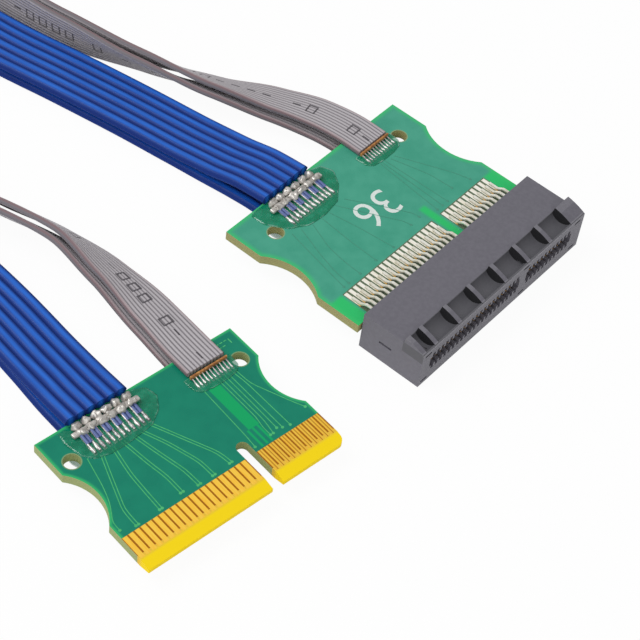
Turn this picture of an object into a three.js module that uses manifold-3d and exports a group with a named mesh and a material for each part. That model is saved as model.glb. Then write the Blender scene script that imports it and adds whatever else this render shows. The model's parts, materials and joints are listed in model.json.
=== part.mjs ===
// A four-lane riser cable for a card slot: an edge-card plug board, a socket board with its
// moulded edge-card socket, and four flat cables that join the two boards, two above and two below.
// Units are millimetres, +Z is up, and the origin is the middle of the socket housing's underside.
import * as THREE from 'three';
import { mergeVertices } from 'three/addons/utils/BufferGeometryUtils.js';
import Module from 'manifold-3d';

const wasm = await Module();
wasm.setup();

// Contact rows. X = 0 is the key between the long and the short group of contacts.
const PITCH = 1.0;
const LONG_COUNT = 21;
const SHORT_COUNT = 11;
const KEY_TO_CONTACT = 1.5;

// Both boards. A board's own frame has Z = 0 on its top face and +Y towards the cables.
const BOARD_THICKNESS = 1.57;
const HOLE_DIAMETER = 2.5;
const HOLE_LEFT_X = -19.6;
const HOLE_RIGHT_X = 9.6;
const HOLE_TO_REAR = 5.2;
const SCALLOP_DEPTH = 2.0;

// Plug board. Y = 0 is the rear end of its gold fingers.
const PLUG_LEFT = -21.95;
const PLUG_RIGHT = 12.1;
const PLUG_REAR = 18.95;
const PLUG_FRONT = -5.7;
const PLUG_SCALLOP_START = 2.6;
const PLUG_SCALLOP_END = 12.7;
const PLUG_CORNER = 1.1;
const FINGER_WIDTH = 0.72;
const FINGER_HEIGHT = 0.05;
const BEVEL_LENGTH = 1.77;
const BEVEL_DEPTH = 0.42;
const NOTCH_WIDTH = 1.9;
const NOTCH_DEPTH = 8.4;

// Socket board. Y = 0 is the rear end of its solder pads.
const SOCKET_LEFT = -24.75;
const SOCKET_RIGHT = 14.45;
const SOCKET_REAR = 20.2;
const SOCKET_SCALLOP_START = 2.4;
const SOCKET_SCALLOP_END = 13.45;
const PAD_WIDTH = 0.62;
const PAD_LENGTH = 3.1;
const PAD_HEIGHT = 0.05;
const TONGUE_INSET = 1.6;
const TONGUE_LENGTH = 2.1;

// Socket housing, in the socket board's frame.
const HOUSING_LENGTH = 39.3;
const HOUSING_CENTRE_X = -4.6;
const HOUSING_REAR = -5.5;
const HOUSING_DEPTH = 10.9;
const HOUSING_TOP = 2.35;
const HOUSING_BOTTOM = -4.55;
const RIB_HEIGHT = 1.1;
const RIB_REAR = -12.75;
const RIB_RAKE = 0.25;
const RIB_CREST_RUN = 2.0;
const RIB_CREST_DROP = 0.25;
const MOUTH_DROP = 0.05;
const RIB_THICKNESS = 0.8;
const RIB_PITCH = 5.53;
const FIRST_RIB_X = -21.57;
const RECESS_COUNT = 7;
const RECESS_DEPTH = 0.95;
const RECESS_LIP = 0.3;
const CARD_SLOT_HEIGHT = 1.85;
const CARD_SLOT_DEPTH = 7.4;
const CARD_SLOT_MARGIN = 0.75;
const KEY_WIDTH = 1.7;
const POCKET_WIDTH = 0.62;
const POCKET_HEIGHT = 0.8;
const POCKET_DEPTH = 6.4;
const CORE_SLOT_LENGTH = 1.4;
const CORE_SLOT_HEIGHT = 0.35;
const CORE_SLOT_DEPTH = 2.0;
const CORE_SLOT_INSET = 0.75;
const CORE_SLOT_FROM_LEFT = 1.25;
const CORE_SLOT_FROM_KEY = 0.4;
const CORE_SLOT_FROM_RIGHT = 1.65;
const END_MARK_LENGTH = 2.2;
const END_MARK_HEIGHT = 0.4;
const END_MARK_DEPTH = 0.4;
const END_MARK_FROM_REAR = 4.35;
const END_MARK_LEVEL = -1.0;
const FIT = 0.3;

// Socket contacts: one strip each, from its pocket through the rear wall to its solder pad.
const CONTACT_WIDTH = 0.42;
const CONTACT_THICKNESS = 0.2;
const TAIL_EXIT_HEIGHT = 0.95;
const TAIL_GAP = 0.1;
const TAIL_TOE = -1.3;
const TAIL_HEEL = -3.0;
const TAIL_KNEE = -3.95;
const SPRING_TIP = 0.9;
const SPRING_CREST = 2.4;
const SPRING_RISE = 0.46;
const SPRING_CLEARANCE = 0.02;
const CONTACT_ROOT = 0.5;

// Blue twin-core cable, and what ends it on a board.
const TWIN_COUNT = 6;
const TWIN_PITCH = 1.68;
const TWIN_THICKNESS = 1.4;
const TWIN_CENTRE_X = -11.8;
const TWIN_WIRE_PITCH = 0.83;
const TWIN_WIRE_WIDTH = 0.45;
const TWIN_WIRE_HEIGHT = 0.5;
const TWIN_WIRE_END = 6.1;
const GROUND_BAR_LENGTH = 11.3;
const GROUND_BAR_WIDTH = 1.2;
const GROUND_BAR_HEIGHT = 0.95;
const GROUND_BAR_TO_REAR = 2.4;
const BLOB_RADIUS = 0.75;
const BLOB_TO_REAR = 1.35;
const BLOB_LEVEL = 0.6;
const BLOB_SQUASH = 0.9;

// Grey flat cable, and what ends it on a board.
const FLAT_COUNT = 11;
const FLAT_PITCH = 0.6;
const FLAT_THICKNESS = 0.9;
const FLAT_CENTRE_X = 4.8;
const FLAT_JACKET_TO_REAR = 3.7;
const FLAT_WIRE_WIDTH = 0.28;
const FLAT_WIRE_END = 5.75;
const TAPE_LENGTH = 0.5;
const TAPE_HEIGHT = 1.0;

// Clear potting over the ends of the wires.
const POTTING_HEIGHT = 1.98;
const POTTING_WALL = 1.3;
const POTTING_CLEARANCE = 0.3;
const POTTING_SLOPE = 0.45;
const POTTING_TO_REAR = 0.4;
const FLAT_POTTING_HEIGHT = 0.7;
const FLAT_POTTING_WALL = 0.8;

// Where the two boards lie. The plug board is turned a little and floats on its potting.
const SOCKET_POSITION = new THREE.Vector3(-HOUSING_CENTRE_X, HOUSING_DEPTH / 2 - HOUSING_REAR, -HOUSING_BOTTOM);
const PLUG_TURN = THREE.MathUtils.degToRad(-8.13);
const PLUG_POSITION = new THREE.Vector3(-47.5, 1.85, BOARD_THICKNESS + POTTING_HEIGHT);

// Cable routes from the socket board to the plug board, as the middle of each pair of ribbons.
// Each point is [x, y, lift off the table, turn of the ribbon in degrees, half the gap between ribbons].
const TWIN_GAP = 0.15;
const TWIST_GAP = 0.5;
const FLAT_GAP = 0.2;
const BOARD_GAP = 0.87;
const TWIN_ROUTE = [
  [-7.2, 30.8, 1.5, 0, BOARD_GAP],
  [-7.25, 36.0, 1.2, 0, 0.75],
  [-7.4, 42.0, 0.55, 0, 0.4],
  [-8.0, 50.0, 0.1, 0, 0.2],
  [-9.2, 60.0, 0, 0, TWIN_GAP],
  [-11.1, 72.0, 0, 0, TWIN_GAP],
  [-13.5, 86.0, 0, 0, TWIN_GAP],
  [-15.0, 98.0, 0, 6, TWIST_GAP],
  [-15.5, 105.0, 0, 30, TWIST_GAP],
  [-15.6, 112.0, 0, 62, TWIST_GAP],
  [-15.5, 119.0, 0, 86, TWIST_GAP],
  [-15.8, 126.0, 0, 90, TWIN_GAP],
  [-19.5, 136.5, 0, 90, TWIN_GAP],
  [-27.0, 142.6, 0, 90, TWIN_GAP],
  [-36.5, 143.6, 0, 90, TWIN_GAP],
  [-45.5, 138.8, 0, 90, TWIN_GAP],
  [-50.2, 130.0, 0, 90, TWIN_GAP],
  [-51.0, 121.0, 0, 86, TWIST_GAP],
  [-51.0, 114.0, 0, 60, TWIST_GAP],
  [-50.9, 107.0, 0, 28, TWIST_GAP],
  [-50.8, 100.0, 0, 5, TWIST_GAP],
  [-50.7, 88.0, 0, 0, TWIN_GAP],
  [-50.7, 74.0, 0, 0, TWIN_GAP],
  [-51.2, 60.0, 0, 0, TWIN_GAP],
  [-52.4, 46.0, 0, 0, TWIN_GAP],
  [-54.2, 35.0, 0.05, 0, 0.3],
  [-55.7, 27.5, 0.3, 0, 0.7],
  [-56.55, 21.95, 0.49, 0, BOARD_GAP],
];
const FLAT_ROUTE = [
  [9.4, 27.5, 2.0, 0, BOARD_GAP],
  [9.4, 32.0, 2.0, 0, BOARD_GAP],
  [8.7, 38.0, 1.7, 3, 0.75],
  [6.6, 45.0, 1.1, 12, 0.5],
  [2.6, 54.0, 0.5, 33, 0.35],
  [-1.3, 66.0, 0.1, 56, 0.3],
  [-4.6, 79.0, 0, 82, 0.25],
  [-6.0, 91.0, 0, 90, FLAT_GAP],
  [-6.2, 104.0, 0, 90, FLAT_GAP],
  [-5.6, 116.0, 0, 90, FLAT_GAP],
  [-5.9, 128.0, 0, 90, FLAT_GAP],
  [-10.5, 141.5, 0, 90, FLAT_GAP],
  [-20.5, 151.0, 0, 90, FLAT_GAP],
  [-34.0, 154.3, 0, 90, FLAT_GAP],
  [-47.5, 150.4, 0, 90, FLAT_GAP],
  [-57.3, 140.5, 0, 90, FLAT_GAP],
  [-61.6, 127.5, 0, 90, FLAT_GAP],
  [-62.6, 115.0, 0, 88, FLAT_GAP],
  [-61.6, 104.0, 1.5, 72, FLAT_GAP],
  [-58.0, 95.0, 3.4, 42, FLAT_GAP],
  [-53.0, 86.0, 3.5, 10, FLAT_GAP],
  [-48.0, 76.5, 3.5, -20, FLAT_GAP],
  [-43.3, 67.0, 2.0, -42, FLAT_GAP],
  [-39.4, 57.5, 0.4, -54, 0.25],
  [-37.2, 48.0, 0.1, -50, 0.3],
  [-37.3, 38.5, 0.3, -28, 0.35],
  [-38.5, 29.0, 0.7, -7, 0.7],
  [-39.9, 21.0, 0.98, 0, BOARD_GAP],
  [-40.55, 16.6, 0.98, 0, BOARD_GAP],
];
const TWIN_STEPS = 56;
const FLAT_STEPS = 60;

const material = (color, roughness, metalness) =>
  new THREE.MeshStandardMaterial({ color, roughness, metalness });
const BOARD_GREEN = material(0x1c876c, 0.45, 0.0);
const HOUSING_BLACK = material(0x3a3a3f, 0.55, 0.0);
const CABLE_BLUE = material(0x2350b4, 0.4, 0.0);
const CABLE_GREY = material(0x969198, 0.55, 0.0);
const TINNED_METAL = material(0xb9b5ab, 0.35, 0.9);
const CLEAR_POTTING = material(0xcfd8cf, 0.15, 0.0);

// A closed geometry as a solid for joining and cutting.
function solid(geometry) {
  const bare = geometry.clone();
  bare.deleteAttribute('normal');
  bare.deleteAttribute('uv');
  const merged = mergeVertices(bare.index ? bare.toNonIndexed() : bare, 1e-5);
  return new wasm.Manifold(new wasm.Mesh({
    numProp: 3,
    vertProperties: new Float32Array(merged.attributes.position.array),
    triVerts: new Uint32Array(merged.index.array),
  }));
}

// A solid back as a geometry.
function geometryOf(body) {
  const mesh = body.getMesh();
  const geometry = new THREE.BufferGeometry();
  geometry.setAttribute('position', new THREE.BufferAttribute(new Float32Array(mesh.vertProperties), 3));
  geometry.setIndex(new THREE.BufferAttribute(new Uint32Array(mesh.triVerts), 1));
  geometry.computeVertexNormals();
  return geometry;
}

function box(x0, x1, y0, y1, z0, z1) {
  const geometry = new THREE.BoxGeometry(x1 - x0, y1 - y0, z1 - z0);
  geometry.translate((x0 + x1) / 2, (y0 + y1) / 2, (z0 + z1) / 2);
  return solid(geometry);
}

// A plan outline raised from z0 to z1.
function plate(shape, z0, z1, curveSegments = 12) {
  const geometry = new THREE.ExtrudeGeometry(shape, { depth: z1 - z0, bevelEnabled: false, curveSegments });
  geometry.translate(0, 0, z0);
  return solid(geometry);
}

// A side profile, drawn as (y, z), swept along X from x0 to x1.
function bar(shape, x0, x1, curveSegments = 8) {
  const geometry = new THREE.ExtrudeGeometry(shape, { depth: x1 - x0, bevelEnabled: false, curveSegments });
  const profileToWorld = new THREE.Matrix4().set(0, 0, 1, x0, 1, 0, 0, 0, 0, 1, 0, 0, 0, 0, 0, 1);
  geometry.applyMatrix4(profileToWorld);
  return solid(geometry);
}

function polygon(points) {
  return new THREE.Shape(points.map(([x, y]) => new THREE.Vector2(x, y)));
}

// The centres of all contacts along X.
function contactCentres() {
  const centres = [];
  for (let i = LONG_COUNT - 1; i >= 0; i -= 1) centres.push(-KEY_TO_CONTACT - i * PITCH);
  for (let i = 0; i < SHORT_COUNT; i += 1) centres.push(KEY_TO_CONTACT + i * PITCH);
  return centres;
}

// The left and right edge of each group of contacts, with a margin outside the outer contacts.
function contactGroups(margin) {
  return [
    [-KEY_TO_CONTACT - (LONG_COUNT - 1) * PITCH - margin, -KEY_WIDTH / 2],
    [KEY_WIDTH / 2, KEY_TO_CONTACT + (SHORT_COUNT - 1) * PITCH + margin],
  ];
}

// A round bite out of a side edge: an arc through both ends of the bite and its deepest point.
function scallop(edgeX, inwards, start, end) {
  const half = (end - start) / 2;
  const radius = (half * half + SCALLOP_DEPTH * SCALLOP_DEPTH) / (2 * SCALLOP_DEPTH);
  const shape = new THREE.Shape();
  shape.absarc(edgeX - inwards * (radius - SCALLOP_DEPTH), (start + end) / 2, radius, 0, 2 * Math.PI, false);
  return plate(shape, -2 * BOARD_THICKNESS, BOARD_THICKNESS, 32);
}

function hole(x, y) {
  const shape = new THREE.Shape();
  shape.absarc(x, y, HOLE_DIAMETER / 2, 0, 2 * Math.PI, false);
  return plate(shape, -2 * BOARD_THICKNESS, BOARD_THICKNESS, 12);
}

// The parts that both boards share: two holes and two bites in the sides.
function cutCableEnd(board, left, right, rear, start, end) {
  return board
    .subtract(hole(HOLE_LEFT_X, rear - HOLE_TO_REAR))
    .subtract(hole(HOLE_RIGHT_X, rear - HOLE_TO_REAR))
    .subtract(scallop(left, 1, start, end))
    .subtract(scallop(right, -1, start, end));
}

// The plug board: rounded front corners, key notch, bevelled front edge and gold fingers on both faces.
function plugBoard() {
  const outline = new THREE.Shape();
  outline.moveTo(PLUG_LEFT, PLUG_FRONT);
  outline.lineTo(PLUG_RIGHT - PLUG_CORNER, PLUG_FRONT);
  outline.absarc(PLUG_RIGHT - PLUG_CORNER, PLUG_FRONT + PLUG_CORNER, PLUG_CORNER, -Math.PI / 2, 0, false);
  outline.lineTo(PLUG_RIGHT, PLUG_REAR);
  outline.lineTo(PLUG_LEFT, PLUG_REAR);
  outline.closePath();
  let board = plate(outline, -BOARD_THICKNESS, 0, 6);
  board = cutCableEnd(board, PLUG_LEFT, PLUG_RIGHT, PLUG_REAR, PLUG_SCALLOP_START, PLUG_SCALLOP_END);
  for (const x of contactCentres()) {
    board = board.add(box(
      x - FINGER_WIDTH / 2, x + FINGER_WIDTH / 2, PLUG_FRONT + BEVEL_LENGTH / 2, 0,
      -BOARD_THICKNESS - FINGER_HEIGHT, FINGER_HEIGHT));
  }
  const notch = new THREE.Shape();
  const half = NOTCH_WIDTH / 2;
  const roundY = PLUG_FRONT + NOTCH_DEPTH - half;
  notch.moveTo(-half, PLUG_FRONT - 1);
  notch.lineTo(half, PLUG_FRONT - 1);
  notch.lineTo(half, roundY);
  notch.absarc(0, roundY, half, 0, Math.PI, false);
  notch.closePath();
  board = board.subtract(plate(notch, -2 * BOARD_THICKNESS, BOARD_THICKNESS));
  // The bevel's plane, run on past the front edge and up past the top of the fingers.
  const ahead = 1;
  const above = 2 * FINGER_HEIGHT;
  const slope = BEVEL_DEPTH / BEVEL_LENGTH;
  const bevel = bar(polygon([
    [PLUG_FRONT - ahead, -BEVEL_DEPTH - ahead * slope],
    [PLUG_FRONT + BEVEL_LENGTH + above / slope, above],
    [PLUG_FRONT - ahead, above],
  ]), PLUG_LEFT - ahead, PLUG_RIGHT + ahead);
  return board.subtract(bevel).subtract(mirrored(bevel, -BOARD_THICKNESS / 2));
}

// The socket board: pads on both faces, and a narrower tongue that enters the housing.
function socketBoard() {
  const shoulder = HOUSING_REAR + FIT;
  const outline = polygon([
    [SOCKET_LEFT, SOCKET_REAR], [SOCKET_LEFT, shoulder],
    [SOCKET_LEFT + TONGUE_INSET, shoulder], [SOCKET_LEFT + TONGUE_INSET, HOUSING_REAR - TONGUE_LENGTH + FIT],
    [SOCKET_RIGHT - TONGUE_INSET, HOUSING_REAR - TONGUE_LENGTH + FIT], [SOCKET_RIGHT - TONGUE_INSET, shoulder],
    [SOCKET_RIGHT, shoulder], [SOCKET_RIGHT, SOCKET_REAR],
  ]);
  let board = plate(outline, -BOARD_THICKNESS, 0);
  board = cutCableEnd(
    board, SOCKET_LEFT, SOCKET_RIGHT, SOCKET_REAR, SOCKET_SCALLOP_START, SOCKET_SCALLOP_END);
  for (const x of contactCentres()) {
    board = board.add(box(
      x - PAD_WIDTH / 2, x + PAD_WIDTH / 2, -PAD_LENGTH, 0, -BOARD_THICKNESS - PAD_HEIGHT, PAD_HEIGHT));
  }
  return board;
}

// One recess between two ribs of the housing: a hollow scooped along X, open upwards and forwards.
function recess(x0, x1) {
  const mouth = HOUSING_REAR - HOUSING_DEPTH;
  const front = mouth + RECESS_LIP;
  const half = (RIB_REAR - front) / 2;
  const middle = front + half;
  const radius = (half * half + RECESS_DEPTH * RECESS_DEPTH) / (2 * RECESS_DEPTH);
  const sweep = Math.asin(half / radius);
  const above = HOUSING_TOP + RIB_HEIGHT + 1;
  const shape = new THREE.Shape();
  shape.moveTo(mouth - 1, above);
  shape.lineTo(mouth - 1, HOUSING_TOP);
  shape.lineTo(front, HOUSING_TOP);
  shape.absarc(middle, HOUSING_TOP - RECESS_DEPTH + radius, radius,
    -Math.PI / 2 - sweep, -Math.PI / 2 + sweep, false);
  shape.lineTo(RIB_REAR + RECESS_LIP, HOUSING_TOP);
  shape.lineTo(RIB_REAR + RECESS_LIP, above);
  shape.closePath();
  return bar(shape, x0, x1, 8);
}

// The housing's outer form: a block with a row of raked ribs over its mouth.
function housingBlock() {
  const x0 = HOUSING_CENTRE_X - HOUSING_LENGTH / 2;
  const x1 = x0 + HOUSING_LENGTH;
  const mouth = HOUSING_REAR - HOUSING_DEPTH;
  const crest = HOUSING_TOP + RIB_HEIGHT;
  const profile = new THREE.Shape();
  profile.moveTo(HOUSING_REAR, HOUSING_BOTTOM);
  profile.lineTo(HOUSING_REAR, HOUSING_TOP);
  profile.lineTo(RIB_REAR, HOUSING_TOP);
  profile.lineTo(RIB_REAR - RIB_RAKE, crest);
  profile.quadraticCurveTo(RIB_REAR - RIB_CREST_RUN, crest - RIB_CREST_DROP, mouth, HOUSING_TOP - MOUTH_DROP);
  profile.lineTo(mouth, HOUSING_BOTTOM);
  profile.closePath();
  let block = bar(profile, x0, x1, 5);
  for (let i = 0; i < RECESS_COUNT; i += 1) {
    const right = FIRST_RIB_X + i * RIB_PITCH;
    const left = i === 0 ? x0 + RIB_THICKNESS : right - RIB_PITCH + RIB_THICKNESS;
    block = block.subtract(recess(left, right));
  }
  const markY = HOUSING_REAR - END_MARK_FROM_REAR;
  return block.subtract(box(
    x0 - 1, x0 + END_MARK_DEPTH, markY - END_MARK_LENGTH / 2, markY + END_MARK_LENGTH / 2,
    END_MARK_LEVEL - END_MARK_HEIGHT / 2, END_MARK_LEVEL + END_MARK_HEIGHT / 2));
}

// The small coring slots in the mouth face, at both ends of the slot and beside the key.
function coringSlots() {
  const mouth = HOUSING_REAR - HOUSING_DEPTH;
  const left = HOUSING_CENTRE_X - HOUSING_LENGTH / 2 + CORE_SLOT_FROM_LEFT;
  const right = HOUSING_CENTRE_X + HOUSING_LENGTH / 2 - CORE_SLOT_FROM_RIGHT;
  const centres = [left, CORE_SLOT_FROM_KEY, right];
  const levels = [HOUSING_TOP - CORE_SLOT_INSET, HOUSING_BOTTOM + CORE_SLOT_INSET];
  return centres.flatMap((x) => levels.map((z) => box(
    x - CORE_SLOT_LENGTH / 2, x + CORE_SLOT_LENGTH / 2, mouth - 1, mouth + CORE_SLOT_DEPTH,
    z - CORE_SLOT_HEIGHT / 2, z + CORE_SLOT_HEIGHT / 2)));
}

// One contact above the board, as its tail and its spring in the pocket, both drawn as (y, z).
function contactProfiles() {
  const mouth = HOUSING_REAR - HOUSING_DEPTH;
  const t = CONTACT_THICKNESS;
  const low = PAD_HEIGHT + TAIL_GAP;
  const exit = TAIL_EXIT_HEIGHT;
  const root = HOUSING_REAR - CONTACT_ROOT;
  const tail = polygon([
    [TAIL_TOE, low], [TAIL_HEEL, low], [TAIL_KNEE, exit - t], [root, exit - t],
    [root, exit], [TAIL_KNEE + t / 2, exit], [TAIL_HEEL + t / 2, low + t], [TAIL_TOE, low + t],
  ]);
  const touch = (CARD_SLOT_HEIGHT - BOARD_THICKNESS) / 2 + SPRING_CLEARANCE;
  const high = touch + SPRING_RISE;
  const tip = mouth + SPRING_TIP;
  const crest = mouth + SPRING_CREST;
  const back = mouth + POCKET_DEPTH + CONTACT_ROOT;
  const spring = polygon([
    [tip, high], [crest, touch], [back, high], [back, high + t], [crest, touch + t], [tip, high + t],
  ]);
  return [tail, spring];
}

function mirrored(body, level) {
  return body.mirror([0, 0, 1]).translate([0, 0, 2 * level]);
}

// The socket housing with its contacts.
function socketHousing() {
  const middle = -BOARD_THICKNESS / 2;
  const mouth = HOUSING_REAR - HOUSING_DEPTH;
  let body = housingBlock();
  for (const slot of coringSlots()) body = body.subtract(slot);
  for (const [x0, x1] of contactGroups(CARD_SLOT_MARGIN)) {
    body = body.subtract(box(x0, x1, mouth - 1, mouth + CARD_SLOT_DEPTH,
      middle - CARD_SLOT_HEIGHT / 2, middle + CARD_SLOT_HEIGHT / 2));
  }
  body = body.subtract(box(SOCKET_LEFT + TONGUE_INSET - FIT, SOCKET_RIGHT - TONGUE_INSET + FIT,
    HOUSING_REAR - TONGUE_LENGTH, HOUSING_REAR + 1, -BOARD_THICKNESS - FIT, FIT));
  const pocketTop = middle + CARD_SLOT_HEIGHT / 2 + POCKET_HEIGHT;
  for (const x of contactCentres()) {
    body = body.subtract(box(x - POCKET_WIDTH / 2, x + POCKET_WIDTH / 2, mouth - 1, mouth + POCKET_DEPTH,
      2 * middle - pocketTop, pocketTop));
  }
  for (const x of contactCentres()) {
    for (const profile of contactProfiles()) {
      const strip = bar(profile, x - CONTACT_WIDTH / 2, x + CONTACT_WIDTH / 2, 1);
      body = body.add(strip).add(mirrored(strip, middle));
    }
  }
  return body;
}

// The end of a blue cable on a board: twelve wires, the ground bar over them and six soldered shields.
function twinTermination(rear) {
  const barY = rear - GROUND_BAR_TO_REAR;
  let body = box(TWIN_CENTRE_X - GROUND_BAR_LENGTH / 2, TWIN_CENTRE_X + GROUND_BAR_LENGTH / 2,
    barY - GROUND_BAR_WIDTH / 2, barY + GROUND_BAR_WIDTH / 2, 0, GROUND_BAR_HEIGHT);
  for (let i = 0; i < 2 * TWIN_COUNT; i += 1) {
    const x = TWIN_CENTRE_X + (i - TWIN_COUNT + 0.5) * TWIN_WIRE_PITCH;
    body = body.add(box(x - TWIN_WIRE_WIDTH / 2, x + TWIN_WIRE_WIDTH / 2,
      rear - TWIN_WIRE_END, barY, 0, TWIN_WIRE_HEIGHT));
  }
  const blob = new THREE.SphereGeometry(BLOB_RADIUS, 8, 4);
  blob.scale(1, BLOB_SQUASH, 1);
  for (let i = 0; i < TWIN_COUNT; i += 1) {
    const x = TWIN_CENTRE_X + (i - (TWIN_COUNT - 1) / 2) * TWIN_PITCH;
    body = body.add(solid(blob.clone().translate(x, rear - BLOB_TO_REAR, BLOB_LEVEL)));
  }
  const below = box(-100, 100, -100, 100, -10, 0);
  return body.subtract(below);
}

// The end of a grey cable on a board: a strip of amber tape and the bare wires in front of it.
function flatTermination(rear) {
  const width = FLAT_COUNT * FLAT_PITCH;
  const tapeY = rear - FLAT_JACKET_TO_REAR - FIT;
  let body = box(FLAT_CENTRE_X - width / 2, FLAT_CENTRE_X + width / 2, tapeY - TAPE_LENGTH, tapeY, 0, TAPE_HEIGHT);
  for (let i = 0; i < FLAT_COUNT; i += 1) {
    const x = FLAT_CENTRE_X + (i - (FLAT_COUNT - 1) / 2) * FLAT_PITCH;
    body = body.add(box(x - FLAT_WIRE_WIDTH / 2, x + FLAT_WIRE_WIDTH / 2,
      rear - FLAT_WIRE_END, tapeY, 0, FLAT_WIRE_WIDTH));
  }
  return body;
}

// A low mound of potting with sloping sides, open over the wires that it holds.
function potting(x0, x1, y0, y1, wall, height, openRear) {
  const geometry = new THREE.BoxGeometry(1, 1, 1);
  const positions = geometry.attributes.position;
  for (let i = 0; i < positions.count; i += 1) {
    const inset = positions.getZ(i) > 0 ? POTTING_SLOPE * wall : 0;
    const x = positions.getX(i) > 0 ? x1 + wall - inset : x0 - wall + inset;
    const y = positions.getY(i) > 0 ? y1 + (openRear ? 0 : wall - inset) : y0 - wall + inset;
    positions.setXYZ(i, x, y, positions.getZ(i) > 0 ? height : 0);
  }
  const gap = POTTING_CLEARANCE;
  const well = box(x0 - gap, x1 + gap, y0 - gap, y1 + (openRear ? 5 : gap), -1, height + 1);
  return solid(geometry).subtract(well);
}

function twinPotting(rear, height) {
  const half = GROUND_BAR_LENGTH / 2;
  return potting(TWIN_CENTRE_X - half, TWIN_CENTRE_X + half, rear - TWIN_WIRE_END, rear - POTTING_TO_REAR,
    POTTING_WALL, height, true);
}

function flatPotting(rear) {
  const half = (FLAT_COUNT * FLAT_PITCH) / 2;
  return potting(FLAT_CENTRE_X - half, FLAT_CENTRE_X + half, rear - FLAT_WIRE_END,
    rear - FLAT_JACKET_TO_REAR, FLAT_POTTING_WALL, FLAT_POTTING_HEIGHT, true);
}

// The middle line of one ribbon of a pair, with the frame that turns its flat section.
class RibbonPath extends THREE.Curve {
  constructor(route, width, thickness, side) {
    super();
    this.arcLengthDivisions = 600;
    this.thickness = thickness;
    this.side = side;
    this.turns = route.map((point) => THREE.MathUtils.degToRad(point[3]));
    this.gaps = route.map((point) => point[4]);
    this.axis = new THREE.CatmullRomCurve3(route.map(([x, y, lift, , gap], i) => {
      const turn = this.turns[i];
      const standing = (width / 2) * Math.abs(Math.sin(turn));
      return new THREE.Vector3(x, y, lift + standing + (gap + thickness) * Math.cos(turn));
    }), false, 'centripetal');
  }

  // A smooth value between the listed ones, at parameter t of the axis.
  blend(values, t) {
    const place = t * (values.length - 1);
    const i = Math.min(Math.floor(place), values.length - 2);
    const part = place - i;
    const eased = part * part * (3 - 2 * part);
    return values[i] + (values[i + 1] - values[i]) * (0.5 * eased + 0.5 * part);
  }

  frame(t) {
    const tangent = this.axis.getTangent(t);
    const right = new THREE.Vector3().crossVectors(tangent, new THREE.Vector3(0, 0, 1)).normalize();
    const up = new THREE.Vector3().crossVectors(right, tangent);
    const turn = this.blend(this.turns, t);
    const normal = up.clone().multiplyScalar(Math.cos(turn)).addScaledVector(right, Math.sin(turn));
    const across = right.clone().multiplyScalar(Math.cos(turn)).addScaledVector(up, -Math.sin(turn));
    return { tangent, normal, across };
  }

  getPoint(t, target = new THREE.Vector3()) {
    const offset = this.side * (this.blend(this.gaps, t) + this.thickness / 2);
    return target.copy(this.axis.getPoint(t)).addScaledVector(this.frame(t).normal, offset);
  }

  computeFrenetFrames(segments) {
    const frames = { tangents: [], normals: [], binormals: [] };
    for (let i = 0; i <= segments; i += 1) {
      const { tangent, normal, across } = this.frame(this.getUtoTmapping(i / segments));
      frames.tangents.push(tangent);
      frames.normals.push(across);
      frames.binormals.push(normal.negate());
    }
    return frames;
  }
}

// A flat cable as a plain band with narrow edges. Its middle points keep a twisted pair apart.
function ribbon(route, width, thickness, side, steps) {
  const half = width / 2;
  const edge = thickness / 2;
  const shape = polygon([
    [-half + edge, -edge], [0, -edge], [half - edge, -edge], [half, 0],
    [half - edge, edge], [0, edge], [-half + edge, edge], [-half, 0],
  ]);
  const extrudePath = new RibbonPath(route, width, thickness, side);
  return new THREE.ExtrudeGeometry(shape, { steps, extrudePath, bevelEnabled: false });
}

function named(name, geometry, meshMaterial) {
  const mesh = new THREE.Mesh(geometry, meshMaterial);
  mesh.name = name;
  return mesh;
}

// What lies on one face of a board: both cable ends and their potting.
function boardFace(prefix, rear, underside) {
  const face = new THREE.Group();
  const where = underside ? 'bottom' : 'top';
  const place = (body) => geometryOf(underside ? mirrored(body, -BOARD_THICKNESS / 2) : body);
  face.add(named(`${prefix}_twin_wires_${where}`, place(twinTermination(rear)), TINNED_METAL));
  face.add(named(`${prefix}_flat_wires_${where}`, place(flatTermination(rear)), TINNED_METAL));
  face.add(named(`${prefix}_twin_potting_${where}`, place(twinPotting(rear, POTTING_HEIGHT)), CLEAR_POTTING));
  face.add(named(`${prefix}_flat_potting_${where}`, place(flatPotting(rear)), CLEAR_POTTING));
  return face;
}

const group = new THREE.Group();

const plug = new THREE.Group();
plug.position.copy(PLUG_POSITION);
plug.rotation.z = PLUG_TURN;
plug.add(named('plug_board', geometryOf(plugBoard()), BOARD_GREEN));
plug.add(boardFace('plug', PLUG_REAR, false));
plug.add(boardFace('plug', PLUG_REAR, true));
group.add(plug);

const socket = new THREE.Group();
socket.position.copy(SOCKET_POSITION);
socket.add(named('socket_board', geometryOf(socketBoard()), BOARD_GREEN));
socket.add(named('socket_housing', geometryOf(socketHousing()), HOUSING_BLACK));
socket.add(boardFace('socket', SOCKET_REAR, false));
socket.add(boardFace('socket', SOCKET_REAR, true));
group.add(socket);

const twinWidth = TWIN_COUNT * TWIN_PITCH + 0.3;
const flatWidth = FLAT_COUNT * FLAT_PITCH;
for (const [where, side] of [['top', 1], ['bottom', -1]]) {
  group.add(named(`twin_ribbon_${where}`,
    ribbon(TWIN_ROUTE, twinWidth, TWIN_THICKNESS, side, TWIN_STEPS), CABLE_BLUE));
  group.add(named(`flat_ribbon_${where}`,
    ribbon(FLAT_ROUTE, flatWidth, FLAT_THICKNESS, side, FLAT_STEPS), CABLE_GREY));
}

export default group;
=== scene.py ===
"""Looks of a card slot riser cable: two boards, a moulded socket and four flat cables between them."""

import json
import logging
import math
from collections.abc import Sequence
from dataclasses import dataclass, field
from enum import Enum

import bmesh
import bpy
from mathutils import Matrix, Vector, noise

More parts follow.
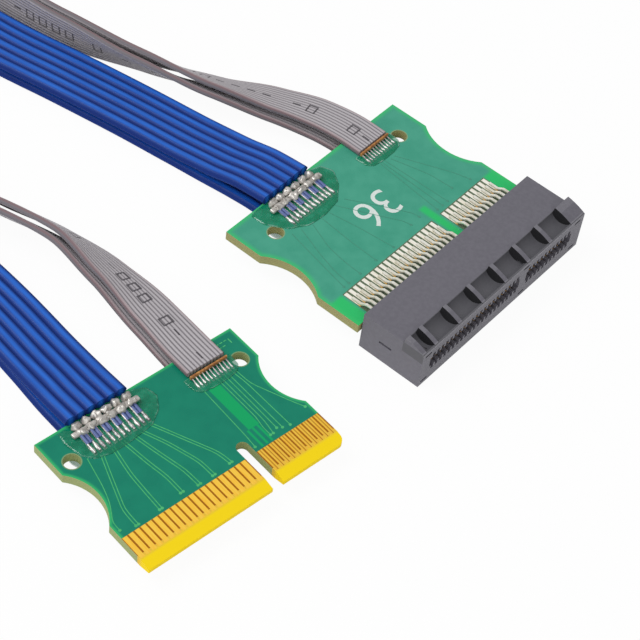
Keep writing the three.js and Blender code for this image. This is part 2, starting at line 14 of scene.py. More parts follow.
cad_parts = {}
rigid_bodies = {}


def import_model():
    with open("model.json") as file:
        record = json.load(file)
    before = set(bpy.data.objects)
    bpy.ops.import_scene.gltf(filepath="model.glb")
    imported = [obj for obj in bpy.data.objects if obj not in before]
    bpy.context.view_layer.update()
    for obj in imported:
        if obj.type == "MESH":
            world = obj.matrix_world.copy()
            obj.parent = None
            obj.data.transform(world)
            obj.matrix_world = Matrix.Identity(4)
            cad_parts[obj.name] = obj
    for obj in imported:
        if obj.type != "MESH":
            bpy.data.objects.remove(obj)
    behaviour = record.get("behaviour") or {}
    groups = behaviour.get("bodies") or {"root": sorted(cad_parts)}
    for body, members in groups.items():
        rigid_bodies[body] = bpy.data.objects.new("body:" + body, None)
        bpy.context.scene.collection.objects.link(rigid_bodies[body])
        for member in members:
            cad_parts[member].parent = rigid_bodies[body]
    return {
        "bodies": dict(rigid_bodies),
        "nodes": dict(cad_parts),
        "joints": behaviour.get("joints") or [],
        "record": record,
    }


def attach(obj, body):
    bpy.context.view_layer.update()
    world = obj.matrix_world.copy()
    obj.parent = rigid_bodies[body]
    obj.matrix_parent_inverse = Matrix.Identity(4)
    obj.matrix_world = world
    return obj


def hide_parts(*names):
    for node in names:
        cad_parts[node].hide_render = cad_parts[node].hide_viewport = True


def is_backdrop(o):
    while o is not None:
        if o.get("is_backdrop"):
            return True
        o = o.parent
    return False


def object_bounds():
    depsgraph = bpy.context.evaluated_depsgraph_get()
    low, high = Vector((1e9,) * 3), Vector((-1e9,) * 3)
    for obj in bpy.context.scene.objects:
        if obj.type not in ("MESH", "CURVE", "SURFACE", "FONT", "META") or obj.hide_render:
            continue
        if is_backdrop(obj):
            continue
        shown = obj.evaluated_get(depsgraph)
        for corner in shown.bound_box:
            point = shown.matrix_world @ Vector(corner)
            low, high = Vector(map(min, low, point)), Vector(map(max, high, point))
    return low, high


LOG = logging.getLogger("riser_cable")
MM = 0.001
Colour = tuple[float, float, float]


def srgb(red: int, green: int, blue: int) -> Colour:
    """Turns a colour as a screen shows it into the linear values that shaders take.

    Args:
        red: Red, 0 to 255.
        green: Green, 0 to 255.
        blue: Blue, 0 to 255.

    Returns:
        The three linear values.
    """
    def linear(value: int) -> float:
        """Turns one channel linear."""
        part = value / 255
        return part / 12.92 if part <= 0.04045 else ((part + 0.055) / 1.055) ** 2.4
    return linear(red), linear(green), linear(blue)


class Slot(Enum):
    """The record's material slots."""

    BOARD = "board_mask"
    HOUSING = "housing_plastic"
    BLUE = "blue_jacket"
    GREY = "grey_jacket"
    METAL = "tinned_metal"
    POTTING = "clear_potting"


class Face(Enum):
    """The two faces of a board."""

    TOP = "top"
    BOTTOM = "bottom"


class Wire:
    """A shader socket on which Python's operators add Math nodes."""

    def __init__(self, graph: "Graph", socket: bpy.types.NodeSocket) -> None:
        """Keeps the socket and the graph that it belongs to."""
        self.graph = graph
        self.socket = socket

    def maths(self, operation: str, *values: "Wire | float") -> "Wire":
        """Adds a Math node.

        Args:
            operation: The Math node's operation.
            *values: Its inputs, as wires or numbers.

        Returns:
            The node's output.
        """
        return self.graph.node("ShaderNodeMath", {"operation": operation}, dict(enumerate(values)))

    def __add__(self, other: "Wire | float") -> "Wire":
        """Adds."""
        return self.maths("ADD", self, other)

    def __radd__(self, other: float) -> "Wire":
        """Adds from the right."""
        return self.maths("ADD", other, self)

    def __sub__(self, other: "Wire | float") -> "Wire":
        """Subtracts."""
        return self.maths("SUBTRACT", self, other)

    def __rsub__(self, other: float) -> "Wire":
        """Subtracts from a number."""
        return self.maths("SUBTRACT", other, self)

    def __mul__(self, other: "Wire | float") -> "Wire":
        """Multiplies."""
        return self.maths("MULTIPLY", self, other)

    def __rmul__(self, other: float) -> "Wire":
        """Multiplies from the right."""
        return self.maths("MULTIPLY", other, self)

    def __truediv__(self, other: "Wire | float") -> "Wire":
        """Divides."""
        return self.maths("DIVIDE", self, other)

    def __pow__(self, other: float) -> "Wire":
        """Raises to a power."""
        return self.maths("POWER", self, other)

    def __lt__(self, other: "Wire | float") -> "Wire":
        """Is 1 where this is less."""
        return self.maths("LESS_THAN", self, other)

    def __gt__(self, other: "Wire | float") -> "Wire":
        """Is 1 where this is more."""
        return self.maths("GREATER_THAN", self, other)

    def __abs__(self) -> "Wire":
        """Takes the absolute value."""
        return self.maths("ABSOLUTE", self)

    def least(self, other: "Wire | float") -> "Wire":
        """Takes the smaller value."""
        return self.maths("MINIMUM", self, other)

    def most(self, other: "Wire | float") -> "Wire":
        """Takes the larger value."""
        return self.maths("MAXIMUM", self, other)

    def wave(self) -> "Wire":
        """Takes the sine."""
        return self.maths("SINE", self)

    def off_centre(self, pitch: float, centre: float) -> "Wire":
        """Gives the distance from the nearest line of an even row.

        Args:
            pitch: The row's pitch.
            centre: The place of any one line.

        Returns:
            The distance, from 0 to half the pitch.
        """
        return abs(self.maths("PINGPONG", self - centre, pitch / 2))

    def between(self, low: float, high: float) -> "Wire":
        """Is 1 where this lies between two values."""
        return (self > low) * (self < high)

    def fade(self, start: float, end: float) -> "Wire":
        """Runs smoothly from 0 at start to 1 at end.

        Args:
            start: The value that gives 0.
            end: The value that gives 1, above or below start.

        Returns:
            The smooth mask.
        """
        low, high = (0.0, 1.0) if start < end else (1.0, 0.0)
        return self.graph.node(
            "ShaderNodeMapRange", {"interpolation_type": "SMOOTHSTEP"},
            {"Value": self, "From Min": min(start, end), "From Max": max(start, end),
             "To Min": low, "To Max": high})


Value = Wire | float | Colour


class Graph:
    """One material and the nodes that it is made of."""

    def __init__(self, name: str) -> None:
        """Makes an empty material with its shader and output.

        Args:
            name: The material's name.
        """
        self.material = bpy.data.materials.new(name)
        self.material.use_nodes = True
        self.tree = self.material.node_tree
        self.tree.nodes.clear()
        self.shader = self.tree.nodes.new("ShaderNodeBsdfPrincipled")
        output = self.tree.nodes.new("ShaderNodeOutputMaterial")
        self.tree.links.new(self.shader.outputs["BSDF"], output.inputs["Surface"])

    def node(self, kind: str, settings: dict | None = None, sockets: dict | None = None,
             output: str | int = 0) -> Wire:
        """Adds any node.

        Args:
            kind: The node's type.
            settings: Its own settings, and a ramp's stops under "stops".
            sockets: Values or wires by socket name or number.
            output: The output to return.

        Returns:
            That output as a wire.
        """
        made = self.tree.nodes.new(kind)
        for key, value in (settings or {}).items():
            if key == "stops":
                self.set_stops(made.color_ramp, value)
            else:
                setattr(made, key, value)
        for key, value in (sockets or {}).items():
            self.feed(made.inputs[key], value)
        return Wire(self, made.outputs[output])

    @staticmethod
    def set_stops(ramp: bpy.types.ColorRamp, stops: Sequence[tuple[float, Colour]]) -> None:
        """Gives a colour ramp its stops.

        Args:
            ramp: The ramp.
            stops: Places from 0 to 1, each with its colour.
        """
        while len(ramp.elements) < len(stops):
            ramp.elements.new(1.0)
        for element, (place, colour) in zip(ramp.elements, stops):
            element.position = place
            element.color = (*colour, 1.0)

    def feed(self, socket: bpy.types.NodeSocket, value: Value) -> None:
        """Links a wire to a socket, or sets its value.

        Args:
            socket: The input.
            value: A wire, a number or a colour.
        """
        if isinstance(value, Wire):
            self.tree.links.new(value.socket, socket)
        elif isinstance(value, (int, float)):
            if socket.type in {"VALUE", "INT"}:
                socket.default_value = value
            else:
                socket.default_value = (value, value, value, 1.0)[:len(socket.default_value)]
        else:
            socket.default_value = (*value, 1.0)[:len(socket.default_value)]

    def mix(self, factor: Wire | float, first: Value, second: Value, blend: str = "MIX") -> Wire:
        """Mixes two colours.

        Args:
            factor: 0 for the first, 1 for the second.
            first: The first colour.
            second: The second colour.
            blend: How they are mixed.

        Returns:
            The mixed colour.
        """
        return self.node("ShaderNodeMix", {"data_type": "RGBA", "blend_type": blend, "clamp_factor": True},
                         {0: factor, 6: first, 7: second}, 2)

    def ramp(self, value: Wire, *stops: tuple[float, Colour]) -> Wire:
        """Turns a value into a colour by a ramp."""
        return self.node("ShaderNodeValToRGB", {"stops": stops}, {"Fac": value})

    def place(self, origin: Sequence[float] = (0, 0, 0), turn: float = 0.0,
              stretch: Sequence[float] = (1, 1, 1)) -> Wire:
        """Gives object coordinates in millimetres, seen from a board's own frame.

        Args:
            origin: The frame's origin, in millimetres.
            turn: The frame's turn about Z, in degrees.
            stretch: How much longer a pattern is along each axis.

        Returns:
            The coordinates as a vector.
        """
        objects = self.node("ShaderNodeTexCoord", output="Object")
        return self.node(
            "ShaderNodeMapping", {"vector_type": "TEXTURE"},
            {"Vector": objects, "Location": tuple(part * MM for part in origin),
             "Rotation": (0, 0, math.radians(turn)), "Scale": tuple(part * MM for part in stretch)})

    def split(self, vector: Wire) -> tuple[Wire, Wire, Wire]:
        """Splits a vector into its three parts."""
        return tuple(self.node("ShaderNodeSeparateXYZ", None, {0: vector}, part) for part in range(3))

    def noise(self, vector: Wire, scale: float, detail: float = 3.0, roughness: float = 0.55) -> Wire:
        """Gives a noise pattern.

        Args:
            vector: Coordinates.
            scale: Its fineness for each unit of them.
            detail: How many finer layers it has.
            roughness: How strong those are.

        Returns:
            A value about 0.5.
        """
        return self.node("ShaderNodeTexNoise", None,
                         {"Vector": vector, "Scale": scale, "Detail": detail, "Roughness": roughness})

    def attribute(self, name: str) -> Wire:
        """Reads a number that the mesh holds at its points."""
        return self.node("ShaderNodeAttribute", {"attribute_name": name}, output="Fac")

    def bump(self, height: Wire, strength: float, distance: float) -> Wire:
        """Makes a bump.

        Args:
            height: The height pattern.
            strength: Its strength, 0 to 1.
            distance: The height in millimetres that 1 stands for.

        Returns:
            The bumped normal.
        """
        return self.node("ShaderNodeBump", None,
                         {"Height": height, "Strength": strength, "Distance": distance * MM})

    def finish(self, **sockets: Value) -> bpy.types.Material:
        """Feeds the shader and returns the material.

        Args:
            **sockets: The shader's sockets, with _ for each space.

        Returns:
            The material.
        """
        for key, value in sockets.items():
            self.feed(self.shader.inputs[key.replace("_", " ")], value)
        return self.material


@dataclass(frozen=True)
class BoardFinish:
    """Solder mask, bare laminate, plated fields and holes of a board, laid out by place, with painted glow along its
    edges and in patches.
    """

    name: str
    origin: tuple[float, float, float]
    turn: float
    left: float
    right: float
    rear: float
    scallop: tuple[float, float]
    metal: Colour
    metal_shade: Colour
    mask: Colour
    mask_light: Colour
    bare: Colour
    edge: Colour
    front: Colour
    gap_ends: tuple[float, float] = (-40.0, -40.0)
    lines_from: float = 100.0
    tips: tuple[Colour, float, float] | None = None
    # Patches of painted glow, where light shows through the thin board, in the field colour.
    glow_patches: tuple[tuple[float, float, float, float], ...] = ()
    glow_patch_edge: float = 0.15
    bare_rows: tuple[tuple[float, float, float, float], ...] = ()
    # Width of the painted edge glow: light showing through the mask along the board's edges.
    edge_glow_width: float = 0.6
    thickness: float = 1.57
    hole_radius: float = 1.25
    holes: tuple[float, float] = (-19.6, 9.6)
    hole_to_rear: float = 5.2
    scallop_depth: float = 2.0
    # Colour of the painted edge glow.
    rim: Colour = srgb(62, 200, 112)
    # field: colour of the painted glow patches.
    field: Colour = srgb(10, 168, 100)

    def circle(self, x: Wire, y: Wire, centre: tuple[float, float], radius: float) -> Wire:
        """Gives the distance outside a circle.

        Args:
            x: Place along X.
            y: Place along Y.
            centre: The circle's centre.
            radius: Its radius.

        Returns:
            The distance, negative inside.
        """
        return x.maths("SQRT", (x - centre[0]) ** 2 + (y - centre[1]) ** 2) - radius

    def outline(self, x: Wire, y: Wire) -> Wire:
        """Gives the distance from the board's side and rear edges and its bites."""
        start, end = self.scallop
        half = (end - start) / 2
        radius = (half ** 2 + self.scallop_depth ** 2) / (2 * self.scallop_depth)
        reach = radius - self.scallop_depth
        away = (x - self.left).least(self.right - x).least(self.rear - y)
        for centre in (self.left - reach, self.right + reach):
            away = away.least(self.circle(x, y, (centre, (start + end) / 2), radius))
        return away

    def make(self) -> bpy.types.Material:
        """Builds the material."""
        graph = Graph(self.name)
        place = graph.place(self.origin, self.turn)
        x, y, z = graph.split(place)
        level = abs(z + self.thickness / 2)
        half = self.thickness / 2
        metal = level > half + 0.015
        face = level > half - 0.012
        cloud = graph.noise(place, 0.3, 2.0)
        speckle = graph.noise(place, 6.0, 2.0)
        weave = (x * 9.0).wave() * (y * 9.0).wave()
        mask = graph.mix(cloud.fade(0.3, 0.7), self.mask, self.mask_light)
        mask = graph.mix(weave.fade(0.2, 1.0) * 0.1, mask, self.mask_light)
        # Painted glow: patches of lighter mask where light shows through the board.
        for low_x, high_x, low_y, high_y in self.glow_patches:
            soft = self.glow_patch_edge
            patch = (x.fade(low_x, low_x + soft) * x.fade(high_x, high_x - soft)
                     * y.fade(low_y, low_y + soft) * y.fade(high_y, high_y - soft))
            mask = graph.mix(patch, mask, self.field)
        away = self.outline(x, y)
        # Painted edge glow: the mask lightens towards the side and rear edges and into the bites.
        mask = graph.mix(away.fade(self.edge_glow_width, 0.05) * 0.7, mask, self.rim)
        for centre in self.holes:
            ring = self.circle(x, y, (centre, self.rear - self.hole_to_rear), self.hole_radius)
            mask = graph.mix(ring.fade(0.22, 0.05) * 0.6, mask, self.edge)
        for low_x, high_x, low_y, high_y in self.bare_rows:
            mask = graph.mix(x.between(low_x, high_x) * y.between(low_y, high_y) * 0.8, mask, self.bare)
        low_y, high_y = self.gap_ends
        mask = graph.mix(y.between(low_y, high_y) * speckle.fade(-0.3, 0.4), mask, self.bare)
        front = graph.ramp(y.fade(low_y - 2.1, low_y), (0.0, self.front), (0.6, self.front),
                           (1.0, tuple(part * 0.8 for part in self.metal)))
        mask = graph.mix(y < low_y, mask, front)
        layers = (z * 19.0 + speckle).wave().fade(-0.6, 0.9)
        side = graph.mix(layers * 0.4, self.edge, tuple(part * 0.6 for part in self.edge))
        side = graph.mix(y < low_y, side, front)
        board = graph.mix(face, side, mask)
        wipe = graph.noise(graph.place(self.origin, self.turn, (0.25, 3.0, 1.0)), 1.0, 3.0)
        plate = graph.mix(wipe.fade(0.35, 0.7), self.metal, self.metal_shade)
        middle = (x > self.lines_from) * x.off_centre(1.0, 0.5).fade(0.11, 0.05)
        plate = graph.mix(middle * 0.75, plate, self.bare)
        plate = graph.mix((x > self.lines_from) * 0.16, plate, self.bare)
        if self.tips:
            colour, tip_low, tip_high = self.tips
            plate = graph.mix(y.fade(tip_high, tip_low), plate, colour)
        colour = graph.mix(metal, board, plate)
        height = metal * wipe * 0.25 + face * (weave * 0.2 + speckle * 0.3) + (1.0 - face) * speckle
        return graph.finish(
            Base_Color=colour,
            Metallic=metal * 0.05,
            Specular_IOR_Level=0.25,
            Roughness=0.24 + metal * wipe * 0.18 + (1.0 - face) * 0.4 + cloud * 0.08,
            Normal=graph.bump(height, 0.35, 0.02))


@dataclass(frozen=True)
class TraceFinish:
    """Solder mask where it lies over a copper track."""

    name: str
    colour: Colour
    light: Colour

    def make(self) -> bpy.types.Material:
        """Builds the material."""
        graph = Graph(self.name)
        place = graph.place()
        cloud = graph.noise(place, 1.6, 3.0)
        return graph.finish(
            Base_Color=graph.mix(cloud.fade(0.3, 0.7), self.colour, self.light),
            Roughness=0.25 + cloud * 0.12,
            Normal=graph.bump(graph.noise(place, 9.0), 0.15, 0.01))


@dataclass(frozen=True)
class HousingFinish:
    """Moulded black plastic of the socket, with the metal of the contacts that stand in it."""

    name: str = "socket_plastic"
    origin: tuple[float, float, float] = (4.6, 10.95, 4.55)
    rear: float = -5.5
    mouth: float = -16.4
    crest: float = 3.2
    top: float = 2.35
    thickness: float = 1.57
    plastic: Colour = srgb(110, 108, 117)
    plastic_dark: Colour = srgb(104, 102, 111)
    # Lighter plastic: real wear on grain and scuffs, and a painted highlight on the crests and the mouth's lip.
    plastic_wear_and_sheen: Colour = srgb(160, 159, 165)
    # Painted shade on the sloping floor of the recesses.
    recess_shade: Colour = srgb(78, 78, 82)
    # Painted shade: near-black lines at the rib walls inside the recesses.
    wall_shade: Colour = srgb(30, 30, 33)
    rib_pitch: float = 5.53
    rib_x: float = -21.57
    rib_rear: float = -12.75
    metal: Colour = srgb(252, 250, 240)
    metal_shade: Colour = srgb(232, 226, 206)
    gold: Colour = srgb(235, 185, 80)

    def make(self) -> bpy.types.Material:
        """Builds the material."""
        graph = Graph(self.name)
        place = graph.place(self.origin)
        x, y, z = graph.split(place)
        level = abs(z + self.thickness / 2)
        strip = x.off_centre(1.0, 0.5) < 0.225
        tail = (y > self.rear + 0.03) * (level < 1.78)
        spring = strip * y.between(self.mouth + 0.85, self.mouth + 6.3) * level.between(0.79, 1.66)
        metal = tail.most(spring)
        cloud = graph.noise(place, 1.6, 3.0)
        grain = graph.noise(place, 14.0, 2.0, 0.7)
        scuff = graph.noise(graph.place(self.origin, 24.0, (0.12, 2.6, 1.0)), 1.0, 4.0)
        plastic = graph.mix(cloud.fade(0.3, 0.7), self.plastic_dark, self.plastic)
        plastic = graph.mix(grain.fade(0.55, 0.8) * 0.25, plastic, self.plastic_wear_and_sheen)
        plastic = graph.mix(scuff.fade(0.62, 0.78) * 0.12, plastic, self.plastic_wear_and_sheen)
        # Painted highlight along the crests and along the lip of the mouth.
        crest = (z > self.crest) * grain.fade(0.3, 0.75)
        lip = (z > self.top - 0.3) * (y < self.mouth + 0.35) * grain.fade(0.3, 0.7)
        plastic = graph.mix(crest.most(lip * 1.6) * 0.4, plastic, self.plastic_wear_and_sheen)
        recess = y.between(self.mouth + 0.05, self.rib_rear + 0.1)
        # Painted shade: the slopes inside the recesses darken.
        plastic = graph.mix(recess * z.between(0.5, self.top + 0.04) * 0.75, plastic, self.recess_shade)
        # Painted shade along each rib wall in the recesses.
        wall_shade = x.off_centre(self.rib_pitch, self.rib_x) < 0.03
        plastic = graph.mix(recess * wall_shade * (z > 0.5), plastic, self.wall_shade)
        shade = graph.mix(cloud.fade(0.35, 0.65), self.metal, self.metal_shade)
        shade = graph.mix(spring, shade, self.gold)
        return graph.finish(
            Base_Color=graph.mix(metal, plastic, shade),
            Metallic=metal * 0.25,
            Roughness=0.48 + grain * 0.12 - metal * 0.25,
            Normal=graph.bump(grain * (1.0 - metal) + scuff * 0.4, 0.3, 0.02))


@dataclass(frozen=True)
class JacketFinish:
    """Extruded jacket of a flat cable, drawn along the cable by its own attributes."""

    name: str
    colour: Colour
    # light: colour of the painted highlight on each lobe's crown.
    light: Colour
    # groove: colour of the painted shade in the grooves between lobes.
    groove: Colour
    half_width: float
    pitch: float
    gloss: float
    edge_line: Colour | None = None
    print_colour: Colour | None = None
    groove_width: float = 0.2
    groove_shade_strength: float = 0.8

    def make(self) -> bpy.types.Material:
        """Builds the material."""
        graph = Graph(self.name)
        across = graph.attribute("across")
        along = graph.attribute("along")
        side = graph.attribute("side")
        flow = graph.node("ShaderNodeCombineXYZ", None, {"X": across * 1.3, "Y": along * 0.08, "Z": side})
        streak = graph.noise(flow, 2.2, 4.0)
        grain = graph.noise(graph.place(), 7.0, 3.0)
        valley = across.off_centre(self.pitch, self.groove_start())
        # Painted highlight on the lobes' crowns, plus random streaks.
        crown_highlight_and_streaks = valley.fade(self.pitch * 0.15, self.pitch * 0.5) * 0.7 + streak.fade(0.35, 0.68) * 0.3
        colour = graph.mix(crown_highlight_and_streaks, self.colour, self.light)
        valley = valley.fade(self.groove_width * self.pitch, 0.0)
        # Painted shade in the grooves between lobes.
        colour = graph.mix(valley * self.groove_shade_strength, colour, self.groove)
        if self.edge_line:
            line = abs(across).fade(self.half_width - self.pitch * 0.75, self.half_width - self.pitch * 0.5)
            colour = graph.mix(line * (side > 0.05) * 0.3, colour, self.edge_line)
        if self.print_colour:
            colour = graph.mix(self.marks(across, along, grain), colour, self.print_colour)
        return graph.finish(
            Base_Color=colour,
            Roughness=self.gloss + streak * 0.16 + valley * 0.4,
            Coat_Weight=(1.0 - valley) * 0.2,
            Coat_Roughness=0.2,
            Specular_IOR_Level=0.25,
            Normal=graph.bump(streak * 0.6 + grain * 0.4, 0.25, 0.03))

    def groove_start(self) -> float:
        """Gives the place of a groove: the middle, or half a pitch off it where a core lies in the middle."""
        cores = round(2 * self.half_width / self.pitch)
        return self.pitch / 2 if cores % 2 else 0.0

    def marks(self, across: Wire, along: Wire, grain: Wire) -> Wire:
        """Gives plain boxes and dashes, printed at uneven steps down the middle of the cable.

        Args:
            across: Place across the cable.
            along: Place along it.
            grain: A fine pattern that wears the print.

        Returns:
            The print as a mask.
        """
        cell = along.maths("FLOOR", along / 2.6)
        pick = along.graph.node("ShaderNodeTexWhiteNoise", {"noise_dimensions": "1D"}, {"W": cell})
        part = along.maths("MODULO", along, 2.6)
        reach = abs(across + 0.2)
        box = part.between(0.3, 2.0) * (reach < 0.95) * (1.0 - part.between(0.6, 1.7) * (reach < 0.67))
        dash = part.between(0.5, 1.9) * (reach < 0.15)
        drawn = box * (pick < 0.38) + dash * pick.between(0.38, 0.7)
        return drawn * grain.fade(0.15, 0.4) * 0.85


@dataclass(frozen=True)
class LumpFinish:
    """An uneven, slightly dulled surface: solder, tinned wire or the insulation of a core."""

    name: str
    colour: Colour
    shade: Colour
    metallic: float
    gloss: float

    def make(self) -> bpy.types.Material:
        """Builds the material."""
        graph = Graph(self.name)
        place = graph.place()
        cloud = graph.noise(place, 1.4, 4.0)
        grain = graph.noise(place, 10.0, 3.0)
        return graph.finish(
            Base_Color=graph.mix(cloud.fade(0.35, 0.7), self.colour, self.shade),
            Metallic=self.metallic,
            Roughness=self.gloss + cloud * 0.2,
            Normal=graph.bump(cloud + grain * 0.4, 0.4, 0.05))


@dataclass(frozen=True)
class PottingFinish:
    """Clear cured resin, which deepens the green of the board under it, with a painted glint near its edge."""

    name: str
    colour: Colour = srgb(2, 146, 104)
    haze: Colour = srgb(40, 166, 128)
    # rim: colour of the painted glint along the film's low edge.
    rim: Colour = srgb(176, 222, 206)
    level: float = 4.55
    rim_glint_strength: float = 0.7

    def make(self) -> bpy.types.Material:
        """Builds the material."""
        graph = Graph(self.name)
        place = graph.place()
        cloud = graph.noise(place, 0.8, 3.0)
        z = graph.split(place)[2]
        # Painted glint in a thin band just above the board, near the film's edge.
        rim = (z - self.level).between(0.06, 0.15) * cloud.fade(0.42, 0.62)
        colour = graph.mix(cloud.fade(0.4, 0.75), self.colour, self.haze)
        return graph.finish(
            Base_Color=graph.mix(rim * self.rim_glint_strength, colour, self.rim),
            Alpha=0.5 + cloud.fade(0.4, 0.8) * 0.1,
            Roughness=0.05 + cloud * 0.06,
            Specular_IOR_Level=0.5,
            Coat_Weight=0.4,
            Coat_Roughness=0.04,
            Normal=graph.bump(cloud, 0.3, 0.3))


@dataclass(frozen=True)
class TapeFinish:
    """Amber film over the end of a grey cable."""

    name: str = "amber_film"
    colour: Colour = srgb(156, 96, 50)
    light: Colour = srgb(206, 150, 84)

    def make(self) -> bpy.types.Material:
        """Builds the material."""
        graph = Graph(self.name)
        place = graph.place()
        ripple = graph.noise(place, 1.8, 3.0)
        return graph.finish(
            Base_Color=graph.mix(ripple.fade(0.35, 0.7), self.colour, self.light),
            Roughness=0.2 + ripple * 0.15,
            Normal=graph.bump(ripple, 0.4, 0.05))


@dataclass(frozen=True)
class InkFinish:
    """White legend ink on solder mask."""

    name: str = "legend_ink"
    colour: Colour = srgb(226, 234, 230)
    thin: Colour = srgb(190, 216, 206)

    def make(self) -> bpy.types.Material:
        """Builds the material."""
        graph = Graph(self.name)
        place = graph.place()
        grain = graph.noise(place, 5.0, 4.0)
        return graph.finish(
            Base_Color=graph.mix(grain.fade(0.45, 0.8), self.colour, self.thin),
            Roughness=0.45 + grain * 0.2,
            Normal=graph.bump(grain, 0.2, 0.02))


class Shape:
    """A mesh in the making, in millimetres."""

    def __init__(self) -> None:
        """Starts an empty mesh."""
        self.mesh = bmesh.new()

    def put(self, made: dict, matrix: Matrix) -> list[bmesh.types.BMVert]:
        """Moves what an operator just made.

        Args:
            made: The operator's result.
            matrix: Where it goes.

        Returns:
            The vertices.
        """
        bmesh.ops.transform(self.mesh, matrix=matrix, verts=made["verts"])
        return made["verts"]

    def block(self, low: Sequence[float], high: Sequence[float], edge: float = 0.0,
              segments: int = 2) -> list[bmesh.types.BMVert]:
        """Adds a block with rounded edges.

        Args:
            low: Its lowest corner.
            high: Its highest corner.
            edge: The rounding.
            segments: Faces across each rounding.

        Returns:
            The block's vertices.
        """
        size = Vector(high) - Vector(low)
        middle = (Vector(high) + Vector(low)) / 2
        made = bmesh.ops.create_cube(self.mesh, size=1.0)
        verts = self.put(made, Matrix.Translation(middle) @ Matrix.Diagonal((*size, 1.0)))
        if edge:
            edges = list({side for vert in verts for side in vert.link_edges})
            rounded = bmesh.ops.bevel(self.mesh, geom=edges, offset=edge, offset_type="OFFSET",
                                      segments=segments, profile=0.5, affect="EDGES", material=-1)
            verts = list({vert for face in rounded["faces"] for vert in face.verts} | {v for v in verts if v.is_valid})
        return verts

    def rod(self, start: Vector, end: Vector, radius: float, sides: int = 10) -> None:
        """Adds a round rod.

        Args:
            start: One end.
            end: The other end.
            radius: Its radius.
            sides: Faces around it.
        """
        line = end - start
        made = bmesh.ops.create_cone(self.mesh, cap_ends=True, segments=sides, radius1=radius,
                                     radius2=radius * 0.92, depth=line.length)
        turn = line.to_track_quat("Z", "Y").to_matrix().to_4x4()
        self.put(made, Matrix.Translation((start + end) / 2) @ turn)

    def ball(self, centre: Vector, size: Sequence[float], rough: float = 0.0) -> None:
        """Adds a soft lump.

        Args:
            centre: Its middle.
            size: Its three half sizes.
            rough: How uneven it is.
        """
        made = bmesh.ops.create_uvsphere(self.mesh, u_segments=18, v_segments=10, radius=1.0)
        verts = self.put(made, Matrix.Translation(centre) @ Matrix.Diagonal((*size, 1.0)))
        for vert in verts:
            vert.co += (vert.co - centre) * rough * noise.noise(vert.co * 1.9)

    def sweep(self, section: Sequence[tuple[float, float]], stations: Sequence[Matrix],
              along: Sequence[float] | None = None) -> None:
        """Sweeps a closed section through a row of stations.

        Args:
            section: Points of the section, across and up.
            stations: The frame at each station.
            along: The length run at each station, where the piece's pattern follows it.
        """
        layers = {key: self.mesh.verts.layers.float.get(key) or self.mesh.verts.layers.float.new(key)
                  for key in ("across", "along", "side")}
        ring = []
        for across, up in section:
            vert = self.mesh.verts.new(stations[0] @ Vector((across, up, 0.0)))
            vert[layers["across"]] = across
            vert[layers["side"]] = up
            vert[layers["along"]] = along[0] if along else 0.0
            ring.append(vert)
        edges = [self.mesh.edges.new((ring[i - 1], ring[i])) for i in range(len(ring))]
        first = list(edges)
        for index in range(1, len(stations)):
            made = bmesh.ops.extrude_edge_only(self.mesh, edges=edges)["geom"]
            verts = [item for item in made if isinstance(item, bmesh.types.BMVert)]
            edges = [item for item in made if isinstance(item, bmesh.types.BMEdge)]
            bmesh.ops.transform(self.mesh, matrix=stations[index] @ stations[index - 1].inverted(), verts=verts)
            for vert in verts:
                vert[layers["along"]] = along[index] if along else 0.0
        for loop in (first, edges):
            bmesh.ops.edgeloop_fill(self.mesh, edges=loop)

    def piece(self, name: str, material: bpy.types.Material, slot: Slot, place: Matrix,
              smooth: float = 40.0) -> bpy.types.Object:
        """Turns the mesh into a finished piece that rides on the part.

        Args:
            name: The piece's name.
            material: Its finish.
            slot: The record's slot for it, which is not used.
            place: The frame that it was drawn in, in millimetres.
            smooth: Edges sharper than this many degrees stay sharp.

        Returns:
            The piece's object.
        """
        bmesh.ops.transform(self.mesh, matrix=Matrix.Scale(MM, 4) @ place, verts=self.mesh.verts)
        bmesh.ops.remove_doubles(self.mesh, verts=self.mesh.verts, dist=1e-7)
        bmesh.ops.recalc_face_normals(self.mesh, faces=self.mesh.faces)
        data = bpy.data.meshes.new(name)
        self.mesh.to_mesh(data)
        self.mesh.free()
        data.polygons.foreach_set("use_smooth", [True] * len(data.polygons))
        data.set_sharp_from_angle(angle=math.radians(smooth))
        data.materials.append(material)
        made = bpy.data.objects.new(name, data)
        bpy.context.scene.collection.objects.link(made)
        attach(made, "root")
        LOG.info("%s: %d faces", name, len(data.polygons))
        return made


class AxisCurve:
    """A centripetal Catmull-Rom curve through a list of points."""

    def __init__(self, points: Sequence[Vector]) -> None:
        """Keeps the points, with one more beyond each end."""
        self.points = [2 * points[0] - points[1], *points, 2 * points[-1] - points[-2]]
        self.spans = len(points) - 1

    def at(self, t: float) -> Vector:
        """Gives the point at a place from 0 to 1 along the list."""
        place = min(max(t, 0.0), 1.0) * self.spans
        index = min(int(place), self.spans - 1)
        part = place - index
        p0, p1, p2, p3 = self.points[index:index + 4]
        d0, d1, d2 = ((b - a).length_squared ** 0.25 for a, b in ((p0, p1), (p1, p2), (p2, p3)))
        leave = ((p1 - p0) / d0 - (p2 - p0) / (d0 + d1) + (p2 - p1) / d1) * d1
        reach = ((p2 - p1) / d1 - (p3 - p1) / (d1 + d2) + (p3 - p2) / d2) * d1
        curve = -3 * p1 + 3 * p2 - 2 * leave - reach
        turn = 2 * p1 - 2 * p2 + leave + reach
        return p1 + leave * part + curve * part ** 2 + turn * part ** 3

    def tangent(self, t: float) -> Vector:
        """Gives the direction at a place along the list."""
        return (self.at(t + 0.0001) - self.at(t - 0.0001)).normalized()


